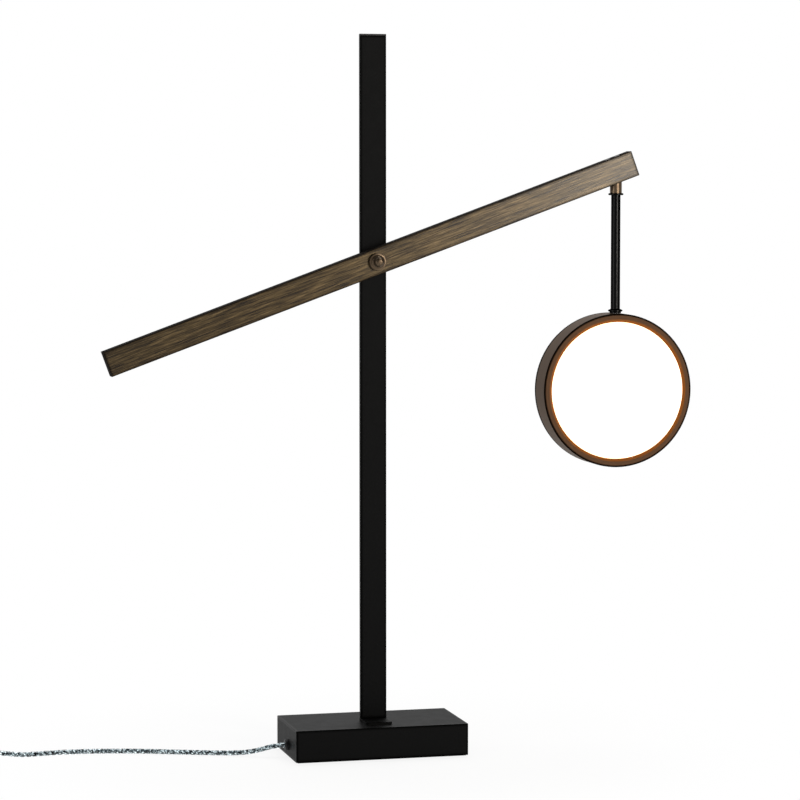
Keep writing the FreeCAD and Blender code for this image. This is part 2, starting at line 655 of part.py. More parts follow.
arm = in_arm("arm_tube")
sketch = new_sketch(arm, "YZ", "end_cap_thickness - arm_tail")
rectangle(sketch, "0 - arm_thickness / 2", "arm_thickness / 2", "0 - arm_height / 2", "arm_height / 2")
rectangle(sketch, "0 - arm_inner_y", "arm_inner_y", "0 - arm_inner_z", "arm_inner_z")
profile = pad(arm, sketch, "arm_tail + arm_nose - 2 * end_cap_thickness")
profile = round_edges(arm, profile, "arm_corner",
                      lambda edge: runs_along(edge, ALONG_X) and abs(
                          abs(edge.BoundBox.ZMin) - size("arm_height / 2")) < 1e-3)
sketch = new_sketch(arm, "XZ")
circle(sketch, "0", "0", "bush_radius")
pocket(arm, sketch, "arm_thickness * 3", both=True)
sketch = new_sketch(arm, "XY", "0 - arm_inner_z + arm_wall")
rectangle(sketch, "pin_reach - slot_tail", "pin_reach + slot_nose", "0 - slot_width / 2", "slot_width / 2")
pocket(arm, sketch, "arm_wall * 4")
sketch = new_sketch(arm, "XY", "arm_height / 2")
for side in (-1, 1):
    circle(sketch, "pin_reach + %d * yoke_screw_spacing / 2" % side, "0",
           "yoke_screw_head + yoke_screw_clearance")
pocket(arm, sketch, "arm_wall * 2")
sketch = new_sketch(arm, "XY", "0 - arm_inner_z + arm_wall")
circle(sketch, "set_screw_place - arm_tail", "0", "set_screw_radius + running_clearance")
pocket(arm, sketch, "arm_wall * 4")

for label, end, way, plug_depth in (("arm_tail_cap", "0 - arm_tail", 1, "tail_plug_depth"),
                                    ("arm_nose_cap", "arm_nose", -1, "nose_plug_depth")):
    end_cap = in_arm(label)
    sketch = new_sketch(end_cap, "YZ", end)
    rectangle(sketch, "0 - arm_thickness / 2", "arm_thickness / 2",
              "0 - arm_height / 2", "arm_height / 2")
    face = pad(end_cap, sketch, "end_cap_thickness", back=way < 0)
    face = round_edges(end_cap, face, "arm_corner", lambda edge: runs_along(edge, ALONG_X))
    sketch = new_sketch(end_cap, "YZ", "%s + %d * end_cap_thickness" % (end, way))
    rectangle(sketch, "end_plug_clearance - arm_inner_y", "arm_inner_y - end_plug_clearance",
              "end_plug_clearance - arm_inner_z", "arm_inner_z - end_plug_clearance")
    pad(end_cap, sketch, plug_depth, back=way < 0)

# The balance weight lies in the tail and is held by one set screw from below.
bar = in_arm("counterweight")
sketch = new_sketch(bar, "YZ", "end_cap_thickness + tail_plug_depth + weight_bar_gap - arm_tail")
rectangle(sketch, "0 - weight_bar_thickness / 2", "weight_bar_thickness / 2",
          "0 - weight_bar_height / 2", "weight_bar_height / 2")
steel = pad(bar, sketch, "weight_bar_length")
steel = bevel_edges(bar, steel, "weight_bar_chamfer", lambda edge: runs_along(edge, ALONG_X))
sketch = new_sketch(bar, "XY", "0 - weight_bar_height / 2")
circle(sketch, "set_screw_place - arm_tail", "0", "set_screw_radius + running_clearance")
pocket(bar, sketch, "set_screw_depth", back=True)

grub = in_arm("counterweight_screw")
sketch = new_sketch(grub, "XY", "0 - arm_height / 2")
circle(sketch, "set_screw_place - arm_tail", "0", "set_screw_radius")
screw = pad(grub, sketch, "set_screw_depth")
sketch = new_sketch(grub, "XY", "0 - arm_height / 2")
hexagon(sketch, "set_screw_place - arm_tail", "0", "set_screw_radius")
pocket(grub, sketch, "set_screw_radius", back=True)

bush = in_arm("pivot_bush")
sketch = new_sketch(bush, "XZ")
circle(sketch, "0", "0", "bush_radius - running_clearance")
circle(sketch, "0", "0", "bolt_radius + running_clearance")
pad(bush, sketch, "arm_thickness", both=True)
sketch = new_sketch(bush, "YZ")
rectangle(sketch, "0 - bolt_window / 2", "bolt_window / 2", "0 - bolt_window / 2", "bolt_window / 2")
pocket(bush, sketch, "bush_radius * 2", back=True)

# The ring magnet pulls the arm towards the steel column, through washer and wall.
magnet = in_arm("pivot_magnet")
sketch = new_sketch(magnet, "XZ", "seat_clearance - arm_inner_y")
circle(sketch, "0", "0", "magnet_radius")
circle(sketch, "0", "0", "bush_radius + seat_clearance")
pad(magnet, sketch, "magnet_thickness")

# ---------------------------------------------------------------- hinge in the nose

yoke = in_arm("hanger_yoke")
sketch = new_sketch(yoke, "XZ")
rectangle(sketch, "pin_reach - yoke_length / 2", "pin_reach + yoke_length / 2",
          "0", "arm_inner_z - seat_clearance")
fork = pad(yoke, sketch, "2 * yoke_half", both=True)
sketch = new_sketch(yoke, "XZ")
circle(sketch, "pin_reach", "0", "yoke_cheek_radius")
pad(yoke, sketch, "2 * yoke_half", both=True)
sketch = new_sketch(yoke, "XZ")
rectangle(sketch, "pin_reach - yoke_length", "pin_reach + yoke_length",
          "0 - yoke_length", "yoke_bottom_of_web")
pocket(yoke, sketch, "2 * yoke_half - 2 * yoke_cheek", both=True)
sketch = new_sketch(yoke, "XZ")
circle(sketch, "pin_reach", "0", "pin_radius + seat_clearance / 2")
pocket(yoke, sketch, "arm_thickness * 2", both=True)
sketch = new_sketch(yoke, "XY", "arm_inner_z")
for side in (-1, 1):
    circle(sketch, "pin_reach + %d * yoke_screw_spacing / 2" % side, "0",
           "yoke_screw_radius + running_clearance")
pocket(yoke, sketch, "yoke_screw_length")

yoke_screws = in_arm("yoke_screws")
sketch = new_sketch(yoke_screws, "XY", "arm_height / 2")
for side in (-1, 1):
    circle(sketch, "pin_reach + %d * yoke_screw_spacing / 2" % side, "0", "yoke_screw_head")
pad(yoke_screws, sketch, "arm_wall", back=True)
sketch = new_sketch(yoke_screws, "XY", "arm_height / 2 - arm_wall / 2")
for side in (-1, 1):
    circle(sketch, "pin_reach + %d * yoke_screw_spacing / 2" % side, "0", "yoke_screw_radius")
pad(yoke_screws, sketch, "yoke_screw_length", back=True)

pin = in_arm("hanger_pin")
sketch = new_sketch(pin, "XZ")
circle(sketch, "pin_reach", "0", "pin_radius")
pad(pin, sketch, "2 * yoke_half", both=True)

# The stub swings on the pin: a flat tongue above, a round barrel below.
stub = under_pin("hanger_stub")
sketch = new_sketch(stub, "XZ")
circle(sketch, "0", "0", "tongue_radius")
pad(stub, sketch, "tongue_thickness", both=True)
sketch = new_sketch(stub, "XZ")
rectangle(sketch, "0 - tongue_radius", "tongue_radius", "0 - tongue_drop", "0")
pad(stub, sketch, "tongue_thickness", both=True)
sketch = new_sketch(stub, "XY", "0 - stub_length")
circle(sketch, "0", "0", "stub_radius")
pad(stub, sketch, "stub_length - tongue_drop")
sketch = new_sketch(stub, "XY", "0 - stub_length - spigot_length")
circle(sketch, "0", "0", "spigot_radius")
pad(stub, sketch, "spigot_length")
sketch = new_sketch(stub, "XZ")
circle(sketch, "0", "0", "pin_radius + pin_clearance")
pocket(stub, sketch, "arm_thickness", both=True)
sketch = new_sketch(stub, "XY", "0 - stub_length - spigot_length")
circle(sketch, "0", "0", "stub_bore_radius")
pocket(stub, sketch, "stub_length + spigot_length - stub_window", back=True)
sketch = new_sketch(stub, "YZ", "stub_window_radius")
circle(sketch, "0", "0 - stub_window", "stub_window_radius")
pocket(stub, sketch, "stub_radius * 2")

flange = under_pin("rod_flange")
sketch = new_sketch(flange, "XY", "0 - stub_length")
circle(sketch, "0", "0", "flange_radius")
circle(sketch, "0", "0", "spigot_radius + running_clearance")
ring = pad(flange, sketch, "flange_height", back=True)
bevel_edges(flange, ring, "flange_edge",
            lambda edge: edge.BoundBox.XMax > size("flange_radius") - 0.01
            and edge.BoundBox.ZLength < 0.01)

rod = under_pin("drop_rod")
sketch = new_sketch(rod, "XY", "collar_top")
circle(sketch, "0", "0", "rod_radius")
circle(sketch, "0", "0", "spigot_radius + spigot_clearance")
pad(rod, sketch, "rod_top - collar_top")

collar = under_pin("rod_collar")
sketch = new_sketch(collar, "XZ")
outline(sketch, [
    ("swivel_radius + running_clearance", "collar_bottom"),
    ("collar_foot_radius", "collar_bottom"),
    ("collar_foot_radius", "collar_bottom + collar_foot_height"),
    ("collar_radius", "collar_bottom + collar_bead_low"),
    ("collar_radius", "collar_bottom + collar_bead_top"),
    ("rod_radius", "collar_top"),
    ("swivel_radius + running_clearance", "collar_top"),
])
turn(collar, sketch)

# The hollow swivel stud joins rod and collar and ends in a lock nut inside the head.
swivel = under_pin("swivel_stud")
sketch = new_sketch(swivel, "XY", "swivel_nut_top - swivel_nut_height - swivel_tip - head_drop")
circle(sketch, "0", "0", "swivel_radius")
circle(sketch, "0", "0", "swivel_bore_radius")
pad(swivel, sketch, "collar_top + swivel_up - swivel_nut_top + swivel_nut_height + swivel_tip + head_drop")

lock_nut = under_pin("swivel_nut")
sketch = new_sketch(lock_nut, "XY", "swivel_nut_top - head_drop")
hexagon(sketch, "0", "0", "swivel_nut_width")
circle(sketch, "0", "0", "swivel_radius + running_clearance")
pad(lock_nut, sketch, "swivel_nut_height", back=True)

# ---------------------------------------------------------------- head

# The drum is spun from one sheet: a rim and a back with a rounded edge.
drum = in_head("head_housing")
sketch = new_sketch(drum, "YZ")
outline(sketch, [
    ("bezel_thickness - head_front", "head_radius - head_wall"),
    ("bezel_thickness - head_front", "head_radius"),
    ("head_back", "head_radius"),
    ("head_back", "0"),
    ("head_back - head_wall", "0"),
    ("head_back - head_wall", "head_radius - head_wall"),
])
spun = turn(drum, sketch, "H_Axis")
spun = round_edges(drum, spun, "head_back_edge",
                   lambda edge: lies_at(edge, "Y", size("head_back"))
                   and edge.BoundBox.ZMax > size("head_radius") - 0.1)
sketch = new_sketch(drum, "XY", "head_radius - head_wall * 3")
circle(sketch, "0", "0", "swivel_bush_radius + running_clearance")
pocket(drum, sketch, "head_wall * 5", back=True)
sketch = new_sketch(drum, "XZ", "0 - head_back")
for step in range(3):
    turn_text = "(%d)" % (90 + 120 * step)
    circle(sketch, "heat_post_place * cos%s" % turn_text, "heat_post_place * sin%s" % turn_text,
           "head_screw_radius + running_clearance")
pocket(drum, sketch, "head_wall * 2", back=True)

bezel = in_head("head_bezel")
sketch = new_sketch(bezel, "YZ")
outline(sketch, [
    ("0 - head_front", "head_radius - bezel_edge"),
    ("bezel_edge - head_front", "head_radius"),
    ("bezel_thickness - head_front", "head_radius"),
    ("bezel_thickness - head_front", "head_radius - head_wall - bezel_clearance"),
    ("bezel_thickness - head_front + bezel_skirt", "head_radius - head_wall - bezel_clearance"),
    ("bezel_thickness - head_front + bezel_skirt",
     "head_radius - head_wall - bezel_clearance - bezel_skirt_wall"),
    ("bezel_back", "head_radius - head_wall - bezel_clearance - bezel_skirt_wall"),
    ("bezel_back", "head_radius - bezel_lip"),
    ("bezel_slope - head_front", "head_radius - bezel_lip"),
    ("0 - head_front", "head_radius - bezel_lip + bezel_slope_width"),
])
turn(bezel, sketch, "H_Axis")
sketch = new_sketch(bezel, "XY", "head_radius / 2")
circle(sketch, "0", "0", "swivel_relief")
pocket(bezel, sketch, "head_radius / 2 - head_wall - bezel_clearance / 2", back=True)

diffuser = in_head("diffuser")
sketch = new_sketch(diffuser, "YZ")
outline(sketch, [
    ("bezel_back + diffuser_gap", "diffuser_radius"),
    ("bezel_back + diffuser_gap", "head_radius - bezel_lip - diffuser_gap * 2"),
    ("bezel_slope - head_front + diffuser_set_back", "head_radius - bezel_lip - diffuser_gap * 2"),
    ("bezel_slope - head_front + diffuser_set_back", "0"),
    ("bezel_slope - head_front + diffuser_set_back + diffuser_thickness", "0"),
    ("bezel_slope - head_front + diffuser_set_back + diffuser_thickness",
     "head_radius - bezel_lip - diffuser_gap * 2 - diffuser_thickness"),
    ("diffuser_back", "head_radius - bezel_lip - diffuser_gap * 2 - diffuser_thickness"),
    ("diffuser_back", "diffuser_radius"),
])
turn(diffuser, sketch, "H_Axis")

reflector = in_head("light_reflector")
sketch = new_sketch(reflector, "YZ")
outline(sketch, [
    ("diffuser_back + diffuser_gap", "reflector_mouth_radius"),
    ("diffuser_back + diffuser_gap", "reflector_mouth_radius + reflector_wall"),
    ("heat_front", "reflector_floor_radius + reflector_wall"),
    ("heat_front", "reflector_floor_radius"),
])
turn(reflector, sketch, "H_Axis")

board = in_head("led_board")
sketch = new_sketch(board, "XZ", "0 - heat_front")
circle(sketch, "0", "0", "board_radius")
circle(sketch, "0", "0", "board_hole_radius")
pad(board, sketch, "board_thickness")

# The chips sit on the board in three rings.
chips = in_head("led_chips")
rings = []
for count, reach in (("chip_inner_count", "chip_inner_ring"), ("chip_middle_count", "chip_middle_ring"),
                     ("chip_outer_count", "chip_outer_ring")):
    sketch = new_sketch(chips, "XZ", "0 - board_front")
    rectangle(sketch, reach + " - chip_size / 2", reach + " + chip_size / 2",
              "0 - chip_size / 2", "chip_size / 2")
    chip = pad(chips, sketch, "chip_height")
    ring = chips.newObject("PartDesign::PolarPattern", "chip_ring")
    ring.Originals = [chip]
    ring.Axis = (sketch, ["N_Axis"])
    ring.Angle = 360.0
    ring.setExpression("Occurrences", formula(count))
    chips.Tip = ring

# The aluminium plate behind the board stands on three posts against the back.
heat = in_head("heat_plate")
sketch = new_sketch(heat, "XZ", "0 - heat_back")
circle(sketch, "0", "0", "heat_radius")
circle(sketch, "0", "0", "board_hole_radius")
pad(heat, sketch, "heat_thickness")
sketch = new_sketch(heat, "XZ", "head_wall - head_back")
for step in range(3):
    turn_text = "(%d)" % (90 + 120 * step)
    circle(sketch, "heat_post_place * cos%s" % turn_text, "heat_post_place * sin%s" % turn_text,
           "heat_post_radius")
pad(heat, sketch, "head_back - head_wall - heat_back + heat_thickness / 2")
sketch = new_sketch(heat, "XZ", "head_wall - head_back")
for step in range(3):
    turn_text = "(%d)" % (90 + 120 * step)
    circle(sketch, "heat_post_place * cos%s" % turn_text, "heat_post_place * sin%s" % turn_text,
           "head_screw_radius + running_clearance")
pocket(heat, sketch, "head_screw_length", back=True)

head_screws = in_head("head_screws")
sketch = new_sketch(head_screws, "XZ", "0 - head_back")
for step in range(3):
    turn_text = "(%d)" % (90 + 120 * step)
    circle(sketch, "heat_post_place * cos%s" % turn_text, "heat_post_place * sin%s" % turn_text,
           "head_screw_head")
heads = pad(head_screws, sketch, "head_screw_head_height", back=True)
bevel_edges(head_screws, heads, "head_screw_head_height / 2",
            lambda edge: lies_at(edge, "Y", size("head_back + head_screw_head_height")))
sketch = new_sketch(head_screws, "XZ", "0 - head_back - head_screw_head_height / 4")
for step in range(3):
    turn_text = "(%d)" % (90 + 120 * step)
    circle(sketch, "heat_post_place * cos%s" % turn_text, "heat_post_place * sin%s" % turn_text,
           "head_screw_radius")
pad(head_screws, sketch, "head_screw_length")

swivel_bush = in_head("swivel_bush")
sketch = new_sketch(swivel_bush, "XZ")
outline(sketch, [
    ("swivel_radius + running_clearance", "swivel_seat - swivel_flange"),
    ("swivel_flange_radius", "swivel_seat - swivel_flange"),
    ("swivel_flange_radius", "swivel_seat"),
    ("swivel_bush_radius", "swivel_seat"),
    ("swivel_bush_radius", "head_radius - swivel_sag / 2"),
    ("swivel_radius + running_clearance", "head_radius - swivel_sag / 2"),
])
turn(swivel_bush, sketch)

# ---------------------------------------------------------------- inner wiring

def point(x, y, z):
    """A point whose coordinates are formulas of the sheet's sizes."""
    return Vector(size(x), size(y), size(z))


def inner_wire(label, points, **where):
    wire = keep(label, bent_tube(points, size("wire_radius"), label))
    place(wire, **where)
    return wire


# Two mains leads run from the cord's end to the driver.
leads = new_body("mains_leads")
sketch = new_sketch(leads, "YZ", "driver_left")
for side in (-1, 1):
    circle(sketch, "gland_y + %d * wire_pitch / 2" % side, "gland_height", "wire_radius")
pad(leads, sketch, "driver_left + base_width / 2 - base_wall - gland_thread_length", back=True)

inner_wire("column_wire", [
    point("driver_right - wire_bend", "column_y", "plate_top + driver_height"),
    point("driver_right - wire_bend", "column_y", "plate_top + driver_height + wire_bend / 2"),
    point("0", "column_y", "plate_top + driver_height + wire_bend / 2"),
    point("0", "column_y", "pivot_height - bolt_radius - wire_end_gap"),
])

inner_wire("arm_wire", [
    point("bush_radius + wire_end_gap", "0", "0"),
    point("bush_radius + wire_bend * 2", "0", "wire_bend / 2 - arm_inner_z"),
    point("bush_radius + wire_bend * 4", "0", "wire_radius - arm_inner_z"),
    point("pin_reach - slot_tail - wire_end_gap", "0", "wire_radius - arm_inner_z"),
], y="arm_mid", z="pivot_height", tilt="rest_tilt")

inner_wire("rod_wire", [
    point("0", "0", "0 - stub_window"),
    point("0", "0", "swivel_nut_top - swivel_nut_height - head_drop"),
], x="pin_x", y="arm_mid", z="pin_z")

inner_wire("head_wire", [
    point("0", "0", "swivel_nut_top - swivel_nut_height - swivel_tip - wire_end_gap"),
    point("wire_bend / 2", "wire_bend", "reflector_floor_radius + wire_bend"),
    point("wire_bend", "heat_back + wire_bend / 2", "reflector_floor_radius + wire_bend / 2"),
    point("wire_bend", "heat_back + wire_bend / 2", "chip_inner_ring"),
    point("0", "heat_back + wire_radius + wire_end_gap", "board_hole_radius"),
], x="pin_x", y="arm_mid", z="head_z")

# ---------------------------------------------------------------- mains cord

# The cord leaves the gland, comes down to the table, wanders to the in-line
# switch, and the rest is wound into a flat coil that ends in the plug.
CORD_LEAD = [
    (-110.5, -1.8, 7.4), (-124.0, 6.0, 3.6), (-140.5, 13.2, 2.4), (-160.0, 20.0, 2.4),
    (-188.0, 30.5, 2.4), (-224.0, 45.0, 2.4), (-262.0, 54.5, 2.4), (-295.0, 57.5, 2.4),
    (-319.0, 55.0, 2.4), (-337.0, 52.0, 2.6), (-351.0, 50.5, 4.6),
]
CORD_MID = [(-452.0, 53.6, 4.6), (-461.0, 60.2, 2.6), (-469.5, 64.4, 2.4)]
CORD_TAIL = [(-468.0, -4.9, 7.2)]

coil = new_body("cord_coil", x="coil_x", y="coil_y")
sketch = new_sketch(coil, "XZ")
rectangle(sketch, "coil_inner", "coil_outer", "0", "coil_height")
ring = turn(coil, sketch)
bevel_edges(coil, ring, "coil_edge", lambda edge: edge.BoundBox.ZLength < 1e-3)

cord_radius = size("cord_radius")
gland_end = point("base_wall + gland_thread_length - base_width / 2", "gland_y", "gland_height")
gland_mouth = point("0 - base_width / 2 - gland_reach - cord_straight", "gland_y", "gland_height")
switch_right = point("switch_x + switch_length / 2", "switch_y", "switch_cord_height")
switch_left = point("switch_x - switch_length / 2", "switch_y", "switch_cord_height")
straight = point("cord_straight", "0", "0")
coil_back = point("coil_x", "coil_y + coil_turn_radius", "cord_radius")
coil_front = point("coil_x", "coil_y - coil_turn_radius", "coil_height - cord_radius")
plug_neck = point("plug_x - relief_length", "plug_y", "plug_axis")

route = [gland_end, gland_mouth] + [Vector(*spot) for spot in CORD_LEAD]
route += [switch_right + straight, switch_right]
keep("cord_lead", bent_tube(route, cord_radius, "cord_lead"))
route = [switch_left, switch_left - straight] + [Vector(*spot) for spot in CORD_MID] + [coil_back]
keep("cord_mid", bent_tube(route, cord_radius, "cord_mid"))
route = [coil_front] + [Vector(*spot) for spot in CORD_TAIL] + [plug_neck - straight, plug_neck]
keep("cord_tail", bent_tube(route, cord_radius, "cord_tail"))

# ---------------------------------------------------------------- in-line switch

def switch_outline(sketch, wall):
    rectangle(sketch, wall + " - switch_length / 2", "switch_length / 2 - " + wall,
              wall + " - switch_width / 2", "switch_width / 2 - " + wall)


def in_switch(label, height="0", tilt=None):
    return new_body(label, x="switch_x", y="switch_y", z=height, tilt=tilt)


lower = in_switch("switch_base")
sketch = new_sketch(lower, "XY")
switch_outline(sketch, "0")
half = pad(lower, sketch, "switch_split")
half = round_edges(lower, half, "switch_corner", lambda edge: runs_along(edge, ALONG_Z))
half = round_edges(lower, half, "switch_edge", lambda edge: lies_at(edge, "Z", 0.0))
sketch = new_sketch(lower, "XY", "switch_wall")
switch_outline(sketch, "switch_corner / 2")
pocket(lower, sketch, "switch_split", back=True)

# Two screws from below pass through posts of the base into posts of the cover.
SWITCH_SCREWS = [("switch_screw_x", "0 - switch_screw_y"), ("0 - switch_screw_x", "switch_screw_y")]
sketch = new_sketch(lower, "XY", "switch_wall / 2")
for x, y in SWITCH_SCREWS:
    circle(sketch, x, y, "switch_boss_radius")
pad(lower, sketch, "switch_split - switch_wall / 2")
sketch = new_sketch(lower, "XY")
for x, y in SWITCH_SCREWS:
    circle(sketch, x, y, "switch_screw_radius + running_clearance")
pocket(lower, sketch, "switch_split * 2", back=True)
sketch = new_sketch(lower, "XY")
for x, y in SWITCH_SCREWS:
    circle(sketch, x, y, "switch_screw_head + running_clearance")
pocket(lower, sketch, "switch_screw_sink + switch_screw_head_height", back=True)

upper = in_switch("switch_cover", height="switch_split")
sketch = new_sketch(upper, "XY")
switch_outline(sketch, "0")
half = pad(upper, sketch, "switch_height - switch_split")
half = round_edges(upper, half, "switch_corner", lambda edge: runs_along(edge, ALONG_Z))
half = round_edges(upper, half, "switch_edge",
                   lambda edge: lies_at(edge, "Z", size("switch_height - switch_split")))
sketch = new_sketch(upper, "XY", "switch_height - switch_split - switch_wall")
switch_outline(sketch, "switch_corner / 2")
pocket(upper, sketch, "switch_height")
sketch = new_sketch(upper, "XY", "switch_height - switch_split - switch_wall / 2")
for x, y in SWITCH_SCREWS:
    circle(sketch, x, y, "switch_boss_radius")
pad(upper, sketch, "switch_height - switch_split - switch_wall / 2", back=True)
sketch = new_sketch(upper, "XY")
for x, y in SWITCH_SCREWS:
    circle(sketch, x, y, "switch_screw_radius")
pocket(upper, sketch, "switch_screw_length + switch_screw_sink - switch_split", back=True)
sketch = new_sketch(upper, "XY", "switch_height - switch_split")
rectangle(sketch, "0 - rocker_length / 2 - rocker_gap", "rocker_length / 2 + rocker_gap",
          "0 - rocker_width / 2 - rocker_gap", "rocker_width / 2 + rocker_gap")
pocket(upper, sketch, "switch_wall * 2")
sketch = new_sketch(upper, "XY", "switch_height - switch_split - switch_wall")
rectangle(sketch, "0 - lug_length / 2", "lug_length / 2",
          "rocker_width / 2 + rocker_gap", "rocker_width / 2 + rocker_gap + lug_thickness")
rectangle(sketch, "0 - lug_length / 2", "lug_length / 2",
          "0 - rocker_width / 2 - rocker_gap - lug_thickness", "0 - rocker_width / 2 - rocker_gap")
pad(upper, sketch, "lug_depth", back=True)
sketch = new_sketch(upper, "XZ")
circle(sketch, "0", "rocker_axis - switch_split", "rocker_pin_radius + running_clearance")
pocket(upper, sketch, "rocker_width + 2 * rocker_gap + 2 * lug_thickness", both=True)

switch_screws = in_switch("switch_screws", height="switch_screw_sink")
sketch = new_sketch(switch_screws, "XY")
for x, y in SWITCH_SCREWS:
    circle(sketch, x, y, "switch_screw_head")
pad(switch_screws, sketch, "switch_screw_head_height")
sketch = new_sketch(switch_screws, "XY", "switch_screw_head_height / 2")
for x, y in SWITCH_SCREWS:
    circle(sketch, x, y, "switch_screw_radius")
pad(switch_screws, sketch, "switch_screw_length - switch_screw_head_height / 2")

rocker = in_switch("switch_rocker", height="rocker_axis", tilt="rocker_tilt")
sketch = new_sketch(rocker, "XZ")
outline(sketch, [
    ("0 - rocker_keel_length / 2", "0 - rocker_keel"),
    ("rocker_keel_length / 2", "0 - rocker_keel"),
    ("rocker_length / 2", "rocker_drop / 2"),
    ("rocker_length / 2 - rocker_taper", "rocker_top"),
    ("0", "rocker_top - rocker_dip"),
    ("rocker_taper - rocker_length / 2", "rocker_top"),
    ("0 - rocker_length / 2", "rocker_drop / 2"),
])
pad(rocker, sketch, "rocker_width", both=True)
sketch = new_sketch(rocker, "XZ")
circle(sketch, "0", "0", "rocker_pin_radius + running_clearance")
pocket(rocker, sketch, "rocker_width * 2", both=True)

axle = in_switch("rocker_pin", height="rocker_axis")
sketch = new_sketch(axle, "XZ")
circle(sketch, "0", "0", "rocker_pin_radius")
pad(axle, sketch, "rocker_width + 2 * rocker_gap + 2 * lug_thickness", both=True)

# ---------------------------------------------------------------- plug

plug = new_body("plug_body", x="plug_x", y="plug_y")
sketch = new_sketch(plug, "XY")
outline(sketch, [
    ("0", "0 - plug_neck_width / 2"),
    ("plug_shoulder", "0 - plug_width / 2"),
    ("plug_length", "0 - plug_width / 2"),
    ("plug_length", "plug_width / 2"),
    ("plug_shoulder", "plug_width / 2"),
    ("0", "plug_neck_width / 2"),
])
grip = pad(plug, sketch, "plug_height")
grip = round_edges(plug, grip, "plug_edge * 2", lambda edge: runs_along(edge, ALONG_Z))
round_edges(plug, grip, "plug_edge",
            lambda edge: lies_at(edge, "Z", 0.0) or lies_at(edge, "Z", size("plug_height")))
# The tapered strain relief is moulded on, with grooves that let it bend.
sketch = new_sketch(plug, "XY", "plug_axis")
outline(sketch, [
    ("0 - relief_length", "0"),
    ("0 - relief_length", "relief_tip"),
    ("0", "relief_root"),
    ("plug_edge * 2", "relief_root"),
    ("plug_edge * 2", "0"),
])
turn(plug, sketch, "H_Axis")
sketch = new_sketch(plug, "YZ", "relief_groove - relief_length")
circle(sketch, "0", "plug_axis", "relief_root")
circle(sketch, "0", "plug_axis", "relief_tip - relief_groove / 2")
groove = pocket(plug, sketch, "relief_groove")
grooves = plug.newObject("PartDesign::LinearPattern", "relief_grooves")
grooves.Originals = [groove]
grooves.Direction = (plug.Origin.OriginFeatures[0], [""])
grooves.setExpression("Length", formula("relief_pitch * (relief_grooves - 1)"))
grooves.setExpression("Occurrences", formula("relief_grooves"))
plug.Tip = grooves
sketch = new_sketch(plug, "YZ", "plug_length")
for side in (-1, 1):
    circle(sketch, "%d * prong_spacing / 2" % side, "plug_axis", "sleeve_core + running_clearance")
pocket(plug, sketch, "prong_root")

prongs = new_body("plug_prongs", x="plug_face", y="plug_y")
sketch = new_sketch(prongs, "YZ", "0 - prong_root")
for side in (-1, 1):
    circle(sketch, "%d * prong_spacing / 2" % side, "plug_axis", "sleeve_core")
pad(prongs, sketch, "prong_root + sleeve_length")
sketch = new_sketch(prongs, "YZ", "sleeve_length")
for side in (-1, 1):
    circle(sketch, "%d * prong_spacing / 2" % side, "plug_axis", "prong_radius")
tips = pad(prongs, sketch, "prong_length - sleeve_length")
bevel_edges(prongs, tips, "prong_tip", lambda edge: lies_at(edge, "X", size("prong_length")))

sleeves = new_body("prong_sleeves", x="plug_face", y="plug_y")
sketch = new_sketch(sleeves, "YZ")
for side in (-1, 1):
    circle(sketch, "%d * prong_spacing / 2" % side, "plug_axis", "sleeve_radius")
    circle(sketch, "%d * prong_spacing / 2" % side, "plug_axis", "sleeve_core")
pad(sleeves, sketch, "sleeve_length")

# ---------------------------------------------------------------- checks and files

doc.recompute()
faults = []
for item in doc.Objects:
    if "Invalid" in item.State or "Error" in item.State:
        faults.append("%s is %s" % (item.Label, ", ".join(item.State)))
for item in SUB_PARTS:
    if item.Shape.isNull() or not item.Shape.isValid() or not item.Shape.Solids:
        faults.append("%s has no sound solid" % item.Label)
if faults:
    raise RuntimeError("; ".join(faults))

for item in SUB_PARTS:
    item.Shape.exportStep("parts/%s.step" % item.Label)
print("%d sub-parts written" % len(SUB_PARTS))
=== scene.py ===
import math

import bmesh
import bpy
from mathutils import Matrix, Vector


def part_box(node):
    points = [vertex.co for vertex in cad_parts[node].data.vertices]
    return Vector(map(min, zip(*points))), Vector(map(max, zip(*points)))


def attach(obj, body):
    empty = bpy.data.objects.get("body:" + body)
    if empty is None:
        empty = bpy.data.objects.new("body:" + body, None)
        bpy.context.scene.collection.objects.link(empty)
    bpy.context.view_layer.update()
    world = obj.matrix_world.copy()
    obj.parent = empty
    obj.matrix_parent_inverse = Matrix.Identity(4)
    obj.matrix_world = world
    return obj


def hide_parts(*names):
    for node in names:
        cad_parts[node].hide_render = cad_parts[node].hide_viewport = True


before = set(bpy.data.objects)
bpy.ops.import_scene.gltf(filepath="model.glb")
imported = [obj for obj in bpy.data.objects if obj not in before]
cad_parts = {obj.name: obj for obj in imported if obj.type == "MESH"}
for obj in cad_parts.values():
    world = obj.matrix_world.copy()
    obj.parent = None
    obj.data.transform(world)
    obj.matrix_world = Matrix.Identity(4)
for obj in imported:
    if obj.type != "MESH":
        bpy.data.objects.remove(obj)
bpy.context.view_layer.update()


# ---------------------------------------------------------------- base shell
# The base is a box folded and welded from sheet steel, open below. It is powder
# coated satin black, which leaves a fine tooth on the faces, and the folded edges
# are painted darker, a painted shade along them.

def link(tree, start, out, end, into):
    """Join one node's output to another node's input."""
    tree.links.new(start.outputs[out], end.inputs[into])


def math_node(tree, operation, first=None, second=None, clamp=False):
    """A Math node; each value is a number or a (node, output) pair."""
    node = tree.nodes.new("ShaderNodeMath")
    node.operation = operation
    node.use_clamp = clamp
    for slot, value in ((0, first), (1, second)):
        if isinstance(value, tuple):
            link(tree, value[0], value[1], node, slot)
        elif value is not None:
            node.inputs[slot].default_value = value
    return node


